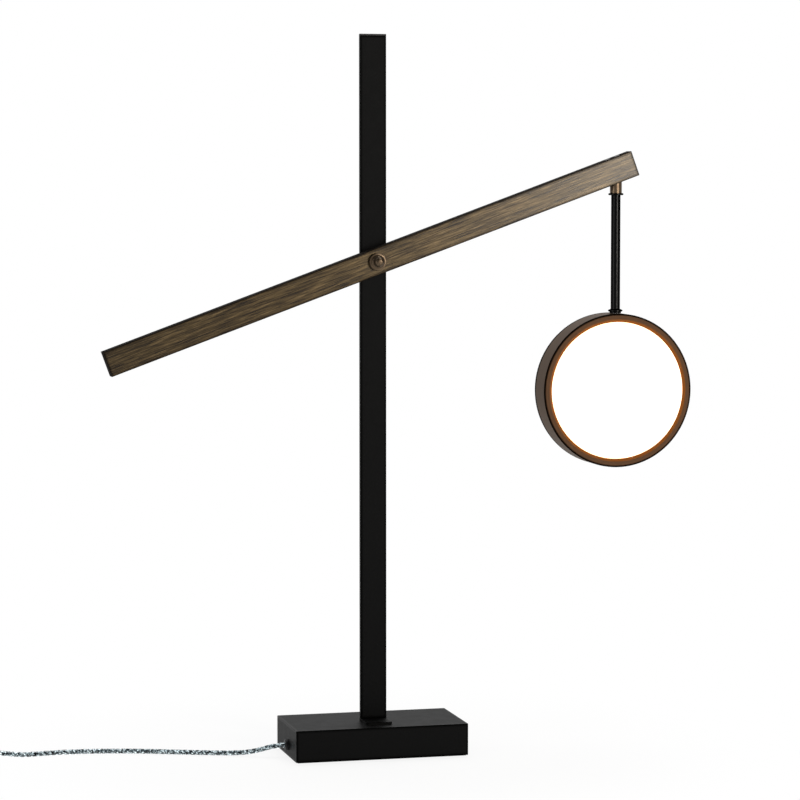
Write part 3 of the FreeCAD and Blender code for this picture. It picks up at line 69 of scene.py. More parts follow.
def new_group(name, inputs, outputs):
    """An empty shader node group with its sockets, and its two end nodes."""
    group = bpy.data.node_groups.new(name, "ShaderNodeTree")
    kinds = {"value": "NodeSocketFloat", "vector": "NodeSocketVector", "colour": "NodeSocketColor"}
    for label, kind in inputs.items():
        group.interface.new_socket(name=label, in_out="INPUT", socket_type=kinds[kind])
    for label, kind in outputs.items():
        group.interface.new_socket(name=label, in_out="OUTPUT", socket_type=kinds[kind])
    return group, group.nodes.new("NodeGroupInput"), group.nodes.new("NodeGroupOutput")


# Tooth: the fine and the broad unevenness of a coated or moulded surface.
tooth, start, end = new_group("tooth", {"Vector": "vector", "Scale": "value"},
                              {"Fine": "value", "Broad": "value"})
fine = tooth.nodes.new("ShaderNodeTexNoise")
fine.inputs["Detail"].default_value = 3.0
fine.inputs["Roughness"].default_value = 0.6
broad = tooth.nodes.new("ShaderNodeTexNoise")
broad.inputs["Detail"].default_value = 2.0
BROAD_SHARE = 0.04
wide = math_node(tooth, "MULTIPLY", (start, "Scale"), BROAD_SHARE)
for texture in (fine, broad):
    link(tooth, start, "Vector", texture, "Vector")
link(tooth, start, "Scale", fine, "Scale")
link(tooth, wide, 0, broad, "Scale")
link(tooth, fine, "Fac", end, "Fine")
link(tooth, broad, "Fac", end, "Broad")

# Box edges: how near a point is to the edges of a box, from 0 to 1.
box_edges, start, end = new_group("box edges", {"Vector": "vector", "Half": "vector", "Band": "value"},
                                  {"Edge": "value"})
away = box_edges.nodes.new("ShaderNodeVectorMath")
away.operation = "ABSOLUTE"
link(box_edges, start, "Vector", away, 0)
gap = box_edges.nodes.new("ShaderNodeVectorMath")
gap.operation = "SUBTRACT"
link(box_edges, start, "Half", gap, 0)
link(box_edges, away, 0, gap, 1)
apart = box_edges.nodes.new("ShaderNodeSeparateXYZ")
link(box_edges, gap, 0, apart, 0)
near = []
for axis in "XYZ":
    share = math_node(box_edges, "DIVIDE", (apart, axis), (start, "Band"))
    near.append(math_node(box_edges, "SUBTRACT", 1.0, (share, 0), clamp=True))
pairs = [math_node(box_edges, "MULTIPLY", (near[one], 0), (near[two], 0))
         for one, two in ((0, 1), (1, 2), (0, 2))]
most = math_node(box_edges, "MAXIMUM", (pairs[0], 0), (pairs[1], 0))
most = math_node(box_edges, "MAXIMUM", (most, 0), (pairs[2], 0))
link(box_edges, most, 0, end, "Edge")


def material(name, colour, roughness, metallic=0.0, **sockets):
    """A material with its shader, plain values set on the shader's own sockets."""
    made = bpy.data.materials.new(name)
    made.use_nodes = True
    shader = made.node_tree.nodes["Principled BSDF"]
    shader.inputs["Base Color"].default_value = (*colour, 1.0)
    shader.inputs["Roughness"].default_value = roughness
    shader.inputs["Metallic"].default_value = metallic
    for label, value in sockets.items():
        shader.inputs[label.replace("_", " ")].default_value = value
    made.diffuse_color = (*colour, 1.0)
    return made, made.node_tree, shader


def placed(tree, at=(0, 0, 0), turn=(0, 0, 0)):
    """Object coordinates measured from a point of the piece, and turned with it."""
    where = tree.nodes.new("ShaderNodeTexCoord")
    moved = tree.nodes.new("ShaderNodeMapping")
    moved.vector_type = "TEXTURE"
    moved.inputs["Location"].default_value = at
    moved.inputs["Rotation"].default_value = turn
    link(tree, where, "Object", moved, "Vector")
    return moved


def use_group(tree, group, vector, **values):
    """Place a node group in a material, with its own values."""
    node = tree.nodes.new("ShaderNodeGroup")
    node.node_tree = group
    link(tree, vector, 0, node, "Vector")
    for label, value in values.items():
        node.inputs[label].default_value = value
    return node


def spread(tree, source, low, high):
    """Turn a mask from 0 to 1 into a value from low to high."""
    node = tree.nodes.new("ShaderNodeMapRange")
    node.inputs["To Min"].default_value = low
    node.inputs["To Max"].default_value = high
    link(tree, source[0], source[1], node, "Value")
    return node


# Where a Mix node has its two colours and their blend.
MIX_FIRST, MIX_SECOND, BLEND = 6, 7, 2


def two_tone(tree, mask, first, second):
    """Blend two colours, each (r, g, b) or a (node, output) pair, by a mask."""
    node = tree.nodes.new("ShaderNodeMix")
    node.data_type = "RGBA"
    link(tree, mask[0], mask[1], node, 0)
    for slot, value in ((MIX_FIRST, first), (MIX_SECOND, second)):
        if isinstance(value[0], float):
            node.inputs[slot].default_value = (*value, 1.0)
        else:
            link(tree, value[0], value[1], node, slot)
    return node


def raised(tree, shader, height, strength, distance):
    """Bump from a height that changes over the surface."""
    node = tree.nodes.new("ShaderNodeBump")
    node.inputs["Strength"].default_value = strength
    node.inputs["Distance"].default_value = distance
    link(tree, height[0], height[1], node, "Height")
    link(tree, node, "Normal", shader, "Normal")


def dress(finish, *nodes):
    """Give CAD nodes a finish in place of the plain one that they came with."""
    for node in nodes:
        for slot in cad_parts[node].material_slots:
            slot.material = finish


def middle(node):
    """The middle of a CAD node's box, and half its size."""
    low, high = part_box(node)
    return (low + high) / 2, (high - low) / 2


COAT_BLACK = (0.0021, 0.0022, 0.0023)
# Painted shade: the near-black that the coat's edges are painted.
SHADED_EDGE_BLACK = (0.0004, 0.0004, 0.0004)
WIDE_BAND = 0.0030


def powder_coat(name, node, band):
    """Satin black powder coat on a box-shaped piece, with painted shade along its edges."""
    at, half = middle(node)
    finish, tree, shader = material(name, COAT_BLACK, roughness=0.5, Specular_IOR_Level=0.06)
    here = placed(tree, at=at)
    grain = use_group(tree, tooth, here, Scale=2600.0)
    edge = use_group(tree, box_edges, here, Half=half, Band=band)
    # Painted shade: the edges are painted darker and made fully metallic, so that they keep no pale
    # reflection.
    painted_edge_shade = two_tone(tree, (edge, "Edge"), COAT_BLACK, SHADED_EDGE_BLACK)
    link(tree, painted_edge_shade, BLEND, shader, "Base Color")
    link(tree, edge, "Edge", shader, "Metallic")
    rough = spread(tree, (grain, "Broad"), low=0.46, high=0.54)
    link(tree, rough, 0, shader, "Roughness")
    raised(tree, shader, (grain, "Fine"), strength=0.25, distance=0.00008)
    return finish


base_coat = powder_coat("powder_coat_base", "base_shell", WIDE_BAND)
dress(base_coat, "base_shell")


# ---------------------------------------------------------------- base plate and pad
# A zinc-plated steel plate closes the base from below with four countersunk
# screws. A felt pad covers plate and screws, so that the lamp doesn't scratch.

def plated_steel(name, colour, rough_low, rough_high):
    """Zinc-plated steel: bright, with a cloudy broad variation."""
    finish, tree, shader = material(name, colour, roughness=rough_low, metallic=1.0)
    here = placed(tree)
    grain = use_group(tree, tooth, here, Scale=900.0)
    rough = spread(tree, (grain, "Broad"), rough_low, rough_high)
    link(tree, rough, 0, shader, "Roughness")
    raised(tree, shader, (grain, "Fine"), strength=0.1, distance=0.00005)
    return finish


zinc = plated_steel("zinc_plate", (0.52, 0.53, 0.55), rough_low=0.28, rough_high=0.46)
dress(zinc, "base_plate", "base_plate_screws", "foot_nuts", "knob_washer", "hanger_yoke",
      "swivel_stud", "swivel_nut", "counterweight_screw", "rocker_pin", "switch_screws")

felt, tree, shader = material("felt_pad", (0.018, 0.018, 0.019), roughness=0.95, Sheen_Weight=0.4)
fibre = use_group(tree, tooth, placed(tree), Scale=3800.0)
tuft = two_tone(tree, (fibre, "Fine"), (0.010, 0.010, 0.011), (0.030, 0.030, 0.031))
link(tree, tuft, BLEND, shader, "Base Color")
raised(tree, shader, (fibre, "Fine"), strength=0.9, distance=0.0004)
dress(felt, "base_pad")


# ---------------------------------------------------------------- weight and LED driver
# A cast iron block makes the base heavy enough for the arm's reach. The driver
# beside it is a potted plastic box that turns mains into the head's low voltage.

cast, tree, shader = material("cast_iron", (0.075, 0.075, 0.08), roughness=0.7, metallic=0.6)
sand = use_group(tree, tooth, placed(tree), Scale=1400.0)
skin = two_tone(tree, (sand, "Broad"), (0.055, 0.055, 0.060), (0.100, 0.098, 0.096))
link(tree, skin, BLEND, shader, "Base Color")
raised(tree, shader, (sand, "Fine"), strength=0.8, distance=0.0005)
dress(cast, "base_weight")


MOULD_SWING = 0.06


def moulded(name, colour, roughness, scale):
    """Moulded plastic with a fine spark-eroded grain."""
    finish, tree, shader = material(name, colour, roughness, Specular_IOR_Level=0.4)
    grain = use_group(tree, tooth, placed(tree), Scale=scale)
    rough = spread(tree, (grain, "Broad"), roughness - MOULD_SWING, roughness + MOULD_SWING)
    link(tree, rough, 0, shader, "Roughness")
    raised(tree, shader, (grain, "Fine"), strength=0.35, distance=0.0001)
    return finish


black_plastic = moulded("moulded_black", (0.012, 0.012, 0.013), roughness=0.5, scale=2600.0)
dress(black_plastic, "led_driver", "gland_nut", "cord_gland", "column_cap", "pivot_bush",
      "swivel_bush", "switch_base", "switch_cover", "switch_rocker", "plug_body", "prong_sleeves")


# ---------------------------------------------------------------- column and foot
# The column is a slim flat steel tube, welded to a small foot plate that two
# studs hold down on the base. Both are coated with the base, in the same black.

NARROW_BAND = 0.0008

column_coat = powder_coat("powder_coat_column", "column", WIDE_BAND)
dress(column_coat, "column")
foot_coat = powder_coat("powder_coat_foot", "column_foot", NARROW_BAND)
dress(foot_coat, "column_foot", "friction_washer")


# ---------------------------------------------------------------- pivot
# A hollow shoulder bolt carries the arm, and a ring magnet in the arm holds it to
# the steel column. The bronze tension knob is turned: a flat rim, a hollow neck
# and a low dome, with the fine rings that the lathe tool leaves.

dark_steel = plated_steel("dark_steel", (0.05, 0.05, 0.052), rough_low=0.30, rough_high=0.45)
dress(dark_steel, "pivot_bolt", "yoke_screws")
magnet_nickel = plated_steel("magnet_nickel", (0.62, 0.60, 0.56), rough_low=0.18, rough_high=0.30)
dress(magnet_nickel, "pivot_magnet")


SHARP_ANGLE = math.radians(35)
SPIN_STEPS = 96
BEVEL_SEGMENTS = 6
WELD_DISTANCE = 1e-7
SAME_PLACE = 1e-6


def finished(name, shape, body, finish):
    """Turn a bmesh into a piece in the frame that rides on a body."""
    mesh = bpy.data.meshes.new(name)
    shape.to_mesh(mesh)
    shape.free()
    for face in mesh.polygons:
        face.use_smooth = True
    mesh.set_sharp_from_angle(angle=SHARP_ANGLE)
    mesh.materials.append(finish)
    piece = bpy.data.objects.new(name, mesh)
    bpy.context.scene.collection.objects.link(piece)
    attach(piece, body)
    return piece


def turned(profile, rounds):
    """Spin a profile of (radius, height) round Z, and round some of its corners.

    rounds holds (corner of the profile, width of the rounding).
    """
    shape = bmesh.new()
    corners = [shape.verts.new((radius, 0.0, height)) for radius, height in profile]
    chain = [shape.edges.new(pair) for pair in zip(corners, corners[1:])]
    bmesh.ops.spin(shape, geom=corners + chain, cent=(0, 0, 0), axis=(0, 0, 1),
                   angle=math.tau, steps=SPIN_STEPS, use_merge=True)
    bmesh.ops.remove_doubles(shape, verts=shape.verts, dist=WELD_DISTANCE)
    for corner, width in rounds:
        radius, height = profile[corner]
        hoop = [edge for edge in shape.edges
                if all(abs(math.hypot(v.co.x, v.co.y) - radius) < SAME_PLACE
                       and abs(v.co.z - height) < SAME_PLACE for v in edge.verts)]
        bmesh.ops.bevel(shape, geom=hoop, offset=width, offset_type="OFFSET", affect="EDGES",
                        segments=BEVEL_SEGMENTS, profile=0.5, material=-1)
    bmesh.ops.recalc_face_normals(shape, faces=shape.faces)
    return shape


QUARTER_TURN = math.radians(90)
SMOOTHER, ROUGHER = 0.06, 0.08


def lathe_rings(name, colour, dark, roughness, at, turn, pitch):
    """Turned metal: fine rings about the piece's axis, over a patina."""
    finish, tree, shader = material(name, colour, roughness, metallic=0.9)
    here = placed(tree, at=at, turn=turn)
    rings = tree.nodes.new("ShaderNodeTexWave")
    rings.wave_type = "RINGS"
    rings.rings_direction = "Z"
    rings.inputs["Scale"].default_value = 1.0 / pitch
    rings.inputs["Distortion"].default_value = 0.6
    link(tree, here, 0, rings, "Vector")
    grain = use_group(tree, tooth, here, Scale=700.0)
    patina = two_tone(tree, (grain, "Fine"), dark, colour)
    link(tree, patina, BLEND, shader, "Base Color")
    rough = spread(tree, (grain, "Broad"), roughness - SMOOTHER, roughness + ROUGHER)
    link(tree, rough, 0, shader, "Roughness")
    raised(tree, shader, (rings, "Fac"), strength=0.25, distance=0.00004)
    return finish


knob_at, knob_half = middle("tension_knob")
knob_seat = Vector((knob_at.x, knob_at.y + knob_half.y, knob_at.z))
KNOB_PROFILE = [
    (0.0032, 0.0), (0.0084, 0.0), (0.0084, 0.0026), (0.0070, 0.0026), (0.0056, 0.0031),
    (0.0047, 0.0042), (0.0045, 0.0056), (0.0045, 0.0106), (0.0, 0.0106),
]
RIM_BACK, RIM_FRONT, DOME_EDGE = 1, 2, 7
shape = turned(KNOB_PROFILE, rounds=((RIM_BACK, 0.0004), (RIM_FRONT, 0.0007), (DOME_EDGE, 0.0030)))
shape.transform(Matrix.Translation(knob_seat) @ Matrix.Rotation(QUARTER_TURN, 4, "X"))
knob_bronze = lathe_rings("turned_bronze", colour=(0.125, 0.088, 0.056), dark=(0.050, 0.034, 0.020),
                          roughness=0.34, at=knob_seat, turn=(QUARTER_TURN, 0, 0), pitch=0.0022)
knob = finished("knob_turned", shape, "knob", knob_bronze)
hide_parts("tension_knob")


# ---------------------------------------------------------------- arm
# The arm is a rectangular aluminium tube, brushed lengthwise and toned to a dark
# antique bronze. The brush leaves long, slightly wavy streaks, and painted shade
# darkens the corners and the rims round the two end caps.

ARM_TILT = math.radians(20)
ARM_TAIL = 0.2790
ARM_NOSE = 0.2778
ARM_THICKNESS = 0.015
ARM_HEIGHT = 0.025
PIVOT_HEIGHT = 0.481
arm_low, arm_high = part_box("arm_tube")
PIVOT = Vector((0.0, (arm_low.y + arm_high.y) / 2, PIVOT_HEIGHT))
ARM_HALF = Vector(((ARM_TAIL + ARM_NOSE) / 2, ARM_THICKNESS / 2, ARM_HEIGHT / 2))
ARM_MIDDLE = PIVOT + Matrix.Rotation(-ARM_TILT, 3, "Y") @ Vector(((ARM_NOSE - ARM_TAIL) / 2, 0, 0))

# Brushing: long streaks, and finer hairs between them, drawn out along X.
brushing, start, end = new_group("brushing", {"Vector": "vector", "Along": "value", "Across": "value"},
                                 {"Streak": "value", "Hair": "value"})
stretch = brushing.nodes.new("ShaderNodeCombineXYZ")
link(brushing, start, "Along", stretch, "X")
link(brushing, start, "Across", stretch, "Y")
link(brushing, start, "Across", stretch, "Z")
drawn = brushing.nodes.new("ShaderNodeVectorMath")
drawn.operation = "MULTIPLY"
link(brushing, start, "Vector", drawn, 0)
link(brushing, stretch, 0, drawn, 1)
for label, pull, detail, distortion in (("Streak", (1.0, 1.0, 1.0), 3.0, 0.4),
                                        ("Hair", (0.35, 3.2, 3.2), 4.0, 0.1)):
    finer = brushing.nodes.new("ShaderNodeVectorMath")
    finer.operation = "MULTIPLY"
    finer.inputs[1].default_value = pull
    link(brushing, drawn, 0, finer, 0)
    lines = brushing.nodes.new("ShaderNodeTexNoise")
    lines.inputs["Scale"].default_value = 1.0
    lines.inputs["Detail"].default_value = detail
    lines.inputs["Roughness"].default_value = 0.65
    lines.inputs["Distortion"].default_value = distortion
    link(brushing, finer, 0, lines, "Vector")
    link(brushing, lines, "Fac", end, label)


def ramp(tree, source, stops):
    """A colour ramp over a mask, from (place, colour) stops."""
    node = tree.nodes.new("ShaderNodeValToRGB")
    link(tree, source[0], source[1], node, 0)
    bar = node.color_ramp
    while len(bar.elements) < len(stops):
        bar.elements.new(0.5)
    for element, (place, colour) in zip(bar.elements, stops):
        element.position = place
        element.color = (*colour, 1.0)
    return node


ARM_METAL = 0.65
ARM_COAT = 0.47
STREAK_SHARE = 0.66
ARM_TONES = (
    (0.39, (0.002, 0.001, 0.0005)), (0.46, (0.029, 0.018, 0.0066)),
    (0.53, (0.056, 0.037, 0.014)), (0.63, (0.126, 0.085, 0.038)),
)
# Painted shade: a dark band along the tube's edges, darker still at its corners and end rims.
EDGE_SHADE_TONE = (0.003, 0.0018, 0.0009)
CORNER_SHADE_TONE = (0.005, 0.0025, 0.001)
CORNER_FROM, CORNER_TO = 0.0009, 0.0003

bronze, tree, shader = material("brushed_bronze", (0.08, 0.058, 0.033), roughness=0.40,
                                metallic=ARM_METAL, Specular_IOR_Level=0.1,
                                Coat_Weight=ARM_COAT, Coat_Roughness=0.24)
here = placed(tree, at=ARM_MIDDLE, turn=(0, -ARM_TILT, 0))
brushed = use_group(tree, brushing, here, Along=40.0, Across=900.0)
streaks = math_node(tree, "MULTIPLY", (brushed, "Streak"), STREAK_SHARE)
hairs = math_node(tree, "MULTIPLY", (brushed, "Hair"), 1.0 - STREAK_SHARE)
lines = math_node(tree, "ADD", (streaks, 0), (hairs, 0))
tone = ramp(tree, (lines, 0), ARM_TONES)
edge = use_group(tree, box_edges, here, Half=ARM_HALF, Band=0.0026)
apart = tree.nodes.new("ShaderNodeSeparateXYZ")
link(tree, here, 0, apart, 0)
beyond = []
for axis, half in (("X", ARM_HALF.x), ("Z", ARM_HALF.z)):
    reach = math_node(tree, "ABSOLUTE", (apart, axis))
    outer = tree.nodes.new("ShaderNodeMapRange")
    outer.inputs["From Min"].default_value = half - CORNER_FROM
    outer.inputs["From Max"].default_value = half - CORNER_TO
    link(tree, reach, 0, outer, "Value")
    beyond.append(outer)
corner_shade_mask = math_node(tree, "MAXIMUM", (beyond[0], 0), (beyond[1], 0))
# Painted shade: edges and corners are painted dark and lose the coat, so that no pale reflection
# lightens them.
arm_edge_shade = two_tone(tree, (edge, "Edge"), (tone, 0), EDGE_SHADE_TONE)
with_painted_shade = two_tone(tree, (corner_shade_mask, 0), (arm_edge_shade, BLEND), CORNER_SHADE_TONE)
link(tree, with_painted_shade, BLEND, shader, "Base Color")
plain = math_node(tree, "MAXIMUM", (edge, "Edge"), (corner_shade_mask, 0))
coat = spread(tree, (plain, 0), low=ARM_COAT, high=0.0)
link(tree, coat, 0, shader, "Coat Weight")
metal = spread(tree, (edge, "Edge"), low=ARM_METAL, high=1.0)
broad_face = math_node(tree, "SUBTRACT", 1.0, (corner_shade_mask, 0))
metal = math_node(tree, "MULTIPLY", (metal, 0), (broad_face, 0))
link(tree, metal, 0, shader, "Metallic")
rough = spread(tree, (brushed, "Hair"), low=0.32, high=0.48)
rough = math_node(tree, "MAXIMUM", (rough, 0), (corner_shade_mask, 0))
link(tree, rough, 0, shader, "Roughness")
raised(tree, shader, (brushed, "Hair"), strength=0.35, distance=0.0002)
dress(bronze, "arm_tube", "arm_tail_cap", "arm_nose_cap")


# ---------------------------------------------------------------- balance weight
# A drawn steel bar in the arm's tail balances the head, and a set screw keeps it
# from sliding. It is left as drawn, with a thin film of oil.

drawn_steel = plated_steel("drawn_steel", (0.30, 0.30, 0.31), rough_low=0.32, rough_high=0.50)
dress(drawn_steel, "counterweight")


# ---------------------------------------------------------------- hanging stub
# The stub is turned from brass rod and swings on a pin in the yoke inside the
# arm's nose, so that the drop rod hangs plumb at any tilt.

stub_at = middle("hanger_stub")[0]
brass = lathe_rings("stub_brass", colour=(0.190, 0.136, 0.090), dark=(0.104, 0.068, 0.038),
                    roughness=0.34, at=(stub_at.x, stub_at.y, 0), turn=(0, 0, 0), pitch=0.0030)
dress(brass, "hanger_stub", "hanger_pin")


# ---------------------------------------------------------------- drop rod
# The drop rod is a black anodised tube between a flange under the stub and a
# collar on the head. The anodising keeps a satin shine along the tube.

NO_GLANCE = (0.0, 0.0, 0.0, 1.0)
rod_black, tree, shader = material("anodised_black", (0.012, 0.012, 0.012), roughness=0.24,
                                   metallic=1.0, Specular_Tint=NO_GLANCE)
drawn_rod = use_group(tree, brushing, placed(tree, turn=(0, QUARTER_TURN, 0)),
                      Along=40.0, Across=1500.0)
rough = spread(tree, (drawn_rod, "Hair"), low=0.20, high=0.28)
link(tree, rough, 0, shader, "Roughness")
dress(rod_black, "drop_rod", "rod_flange", "rod_collar")


# ---------------------------------------------------------------- head
# The head is a shallow spun drum with a bezel pressed into its front. Both are
# painted bronze, with painted shade at the rims and a painted glow on the bezel's lip.

head_at, head_half = middle("head_housing")
bezel_at, bezel_half = middle("head_bezel")
HEAD_RADIUS = bezel_half.x
BACK_FACE = head_at.y + head_half.y - bezel_at.y
DEEPER, PALER = 0.93, 1.06
# Painted shade: the dark brown of the head's outer rims.
RIM_SHADE_TONE = (0.004, 0.0022, 0.0012)
# Painted light: the orange of the diffuser's light on the bezel's sloping lip.
LIP_PAINTED_GLOW = (0.240, 0.075, 0.014)

# Off axis: a mask that rises from 0 to 1 between two distances from the Y axis.
off_axis, start, end = new_group("off axis", {"Vector": "vector", "From": "value", "To": "value"},
                                 {"Mask": "value"})
flat = off_axis.nodes.new("ShaderNodeVectorMath")
flat.operation = "MULTIPLY"
flat.inputs[1].default_value = (1.0, 0.0, 1.0)
link(off_axis, start, "Vector", flat, 0)
reach = off_axis.nodes.new("ShaderNodeVectorMath")
reach.operation = "LENGTH"
link(off_axis, flat, 0, reach, 0)
mask = off_axis.nodes.new("ShaderNodeMapRange")
mask.interpolation_type = "SMOOTHSTEP"
link(off_axis, reach, "Value", mask, "Value")
link(off_axis, start, "From", mask, "From Min")
link(off_axis, start, "To", mask, "From Max")
link(off_axis, mask, 0, end, "Mask")


def painted(name, colour):
    """Satin bronze paint with a fine tooth; the caller paints shade towards its edges."""
    finish, tree, shader = material(name, colour, roughness=0.5, Specular_IOR_Level=0.10,
                                    Specular_Tint=NO_GLANCE)
    here = placed(tree, at=bezel_at)
    grain = use_group(tree, tooth, here, Scale=1800.0)
    deep = tuple(DEEPER * part for part in colour)
    pale = tuple(PALER * part for part in colour)
    shade = two_tone(tree, (grain, "Broad"), deep, pale)
    raised(tree, shader, (grain, "Fine"), strength=0.15, distance=0.00006)
    return finish, tree, shader, here, shade


finish, tree, shader, here, shade = painted("painted_bronze", (0.078, 0.046, 0.025))
apart = tree.nodes.new("ShaderNodeSeparateXYZ")
link(tree, here, 0, apart, 0)
# Painted shade: the drum's back rim is painted dark and made metallic, so that it keeps no pale
# reflection.
back_rim_shade = tree.nodes.new("ShaderNodeMapRange")
back_rim_shade.interpolation_type = "SMOOTHSTEP"
back_rim_shade.inputs["From Min"].default_value = BACK_FACE - 0.0070
back_rim_shade.inputs["From Max"].default_value = BACK_FACE - 0.0035
link(tree, apart, "Y", back_rim_shade, "Value")
rim = use_group(tree, off_axis, here, From=HEAD_RADIUS - 0.0028, To=HEAD_RADIUS - 0.0016)
back_rim_shade = math_node(tree, "MULTIPLY", (back_rim_shade, 0), (rim, "Mask"))
with_painted_shade = two_tone(tree, (back_rim_shade, 0), (shade, BLEND), RIM_SHADE_TONE)
link(tree, with_painted_shade, BLEND, shader, "Base Color")
link(tree, back_rim_shade, 0, shader, "Metallic")
dress(finish, "head_housing")

finish, tree, shader, here, shade = painted("painted_bezel", (0.112, 0.060, 0.033))
# Painted light and shade: the sloping lip is painted orange for the diffuser's light on it, and the
# outer rim is painted dark.
lip_glow_mask = use_group(tree, off_axis, here, From=HEAD_RADIUS - 0.0066, To=HEAD_RADIUS - 0.0050)
corner = use_group(tree, off_axis, here, From=HEAD_RADIUS - 0.0026, To=HEAD_RADIUS - 0.0012)
warm = two_tone(tree, (lip_glow_mask, "Mask"), LIP_PAINTED_GLOW, (shade, BLEND))
with_painted_shade = two_tone(tree, (corner, "Mask"), (warm, BLEND), RIM_SHADE_TONE)
link(tree, with_painted_shade, BLEND, shader, "Base Color")
link(tree, corner, "Mask", shader, "Metallic")
dress(finish, "head_bezel")
dress(dark_steel, "head_screws")


# ---------------------------------------------------------------- diffuser and light
# An opal acrylic dish closes the head. Behind it sit a white reflector, the ring
# board with forty chips, and the aluminium plate that takes the heat.

opal, tree, shader = material("opal_acrylic", (0.92, 0.91, 0.88), roughness=0.35,
                              Emission_Color=(1.0, 0.84, 0.62, 1.0), Emission_Strength=2.2)
here = placed(tree, at=bezel_at)
cloud = use_group(tree, tooth, here, Scale=500.0)
rough = spread(tree, (cloud, "Broad"), low=0.30, high=0.40)
link(tree, rough, 0, shader, "Roughness")
rim = use_group(tree, off_axis, here, From=HEAD_RADIUS - 0.0115, To=HEAD_RADIUS - 0.0080)
warm = two_tone(tree, (rim, "Mask"), (1.0, 0.93, 0.80), (0.75, 0.36, 0.10))
link(tree, warm, BLEND, shader, "Emission Color")
dress(opal, "diffuser")

white_plastic = moulded("moulded_white", (0.80, 0.80, 0.78), roughness=0.45, scale=1800.0)
dress(white_plastic, "light_reflector", "led_board")
phosphor = moulded("chip_phosphor", (0.80, 0.62, 0.18), roughness=0.4, scale=2600.0)
dress(phosphor, "led_chips")
mill_aluminium = plated_steel("mill_aluminium", (0.60, 0.60, 0.62), rough_low=0.36, rough_high=0.52)
dress(mill_aluminium, "heat_plate")


# ---------------------------------------------------------------- inner wiring
# Low-voltage leads run through the hollow column, bolt, arm and rod to the board.
# Each one ends at a joint, where the real pair has a free loop.

insulation = moulded("lead_insulation", (0.62, 0.60, 0.55), roughness=0.4, scale=2200.0)
dress(insulation, "mains_leads", "column_wire", "arm_wire", "rod_wire", "head_wire")


# ---------------------------------------------------------------- mains cord
# A mains cord of clear PVC, 4.8 mm thick, over two twisted silver cores. It leaves
# the gland, drops to the table, runs through the in-line switch and is wound
# away into a neat coil, held by a tie, with the plug beside it.

CORD_RADIUS = 0.0024
GLAND_END = (-0.0777, -0.0060, 0.0116)
LEAD = [
    (-0.0986, -0.0060, 0.0116), (-0.1105, -0.0018, 0.0074), (-0.1240, 0.0060, 0.0036),
    (-0.1405, 0.0132, 0.0024), (-0.1600, 0.0200, 0.0024), (-0.1880, 0.0305, 0.0024),
    (-0.2240, 0.0450, 0.0024), (-0.2620, 0.0545, 0.0024), (-0.2950, 0.0575, 0.0024),
    (-0.3190, 0.0550, 0.0024), (-0.3370, 0.0520, 0.0026), (-0.3510, 0.0505, 0.0046),
]
SWITCH_RUN = [
    (-0.3645, 0.0500, 0.0065), (-0.3740, 0.0500, 0.0065), (-0.4320, 0.0500, 0.0065),
    (-0.4415, 0.0500, 0.0065),
]
TO_COIL = [(-0.4520, 0.0536, 0.0046), (-0.4610, 0.0602, 0.0026), (-0.4695, 0.0644, 0.0024)]
TO_PLUG = [(-0.4680, -0.0049, 0.0072)]
PLUG_RUN = [(-0.4575, -0.0040, 0.00685), (-0.4480, -0.0040, 0.00685)]

COIL_CENTRE = Vector((-0.4780, 0.0306, 0.0))
COIL_RADIUS = 0.0350
COIL_PITCH = 0.0049
COIL_RINGS = 4
COIL_START = 90.0
STEP_SPAN = 60.0
POINTS_PER_TURN = 24
MIDDLE_SHARE = 0.75
TIE_ANGLE = 205.0
TIE_HUMP = (12.0, 48.0)
TIE_THICKNESS = 0.0007


def eased(angle, first, last):
    """0 before first, 1 after last, and smooth between them."""
    share = min(max((angle - first) / (last - first), 0.0), 1.0)
    return share * share * (3.0 - 2.0 * share)


def stepped(angle, end):
    """How many rings the winding has moved on by an angle.

    One step from a ring to the next is made in each turn, and each ends where end does.
    """
    return sum(eased(angle, end - STEP_SPAN + 360.0 * ring, end + 360.0 * ring)
               for ring in range(1, COIL_RINGS))


def coil_points():
    """Turns wound inwards on the table, then outwards on top, each beside the last.

    A curve of this order runs inside its control points, so they reach out by as much.
    """
    lower_end = COIL_START + 360.0 * COIL_RINGS
    upper_end = lower_end + 360.0 * (COIL_RINGS - 1) + 180.0
    step = 360.0 / POINTS_PER_TURN
    reach_out = 1.0 / (MIDDLE_SHARE + (1.0 - MIDDLE_SHARE) * math.cos(math.radians(step)))
    angle = COIL_START
    while angle < upper_end + 0.5 * step:
        inward = stepped(angle, COIL_START)
        outward = stepped(angle, lower_end - STEP_SPAN)
        radius = (COIL_RADIUS - COIL_PITCH * (inward - outward)) * reach_out
        height = CORD_RADIUS * (1.0 + 2.0 * eased(angle, lower_end - STEP_SPAN, lower_end))
        from_tie = abs((angle - TIE_ANGLE + 180.0) % 360.0 - 180.0)
        height += TIE_THICKNESS * (1.0 - eased(from_tie, *TIE_HUMP))
        way = math.radians(angle)
        yield COIL_CENTRE + Vector((radius * math.cos(way), radius * math.sin(way), height))
        angle += step


def cord_curve(name, points, bevel, resolution):
    """An open NURBS curve whose control points are the route's own points."""
    curve = bpy.data.curves.new(name, "CURVE")
    curve.dimensions = "3D"
    curve.resolution_u = resolution
    curve.bevel_depth = bevel
    curve.bevel_resolution = 6
    curve.use_fill_caps = True
    spline = curve.splines.new("NURBS")
    spline.points.add(len(points) - 1)
    for spot, place in zip(spline.points, points):
        spot.co = (*place, 1.0)
    spline.order_u = 3
    spline.use_endpoint_u = True
    piece = bpy.data.objects.new(name, curve)
    bpy.context.scene.collection.objects.link(piece)
    return piece


route = [GLAND_END] + LEAD + SWITCH_RUN + TO_COIL + list(coil_points()) + TO_PLUG + PLUG_RUN

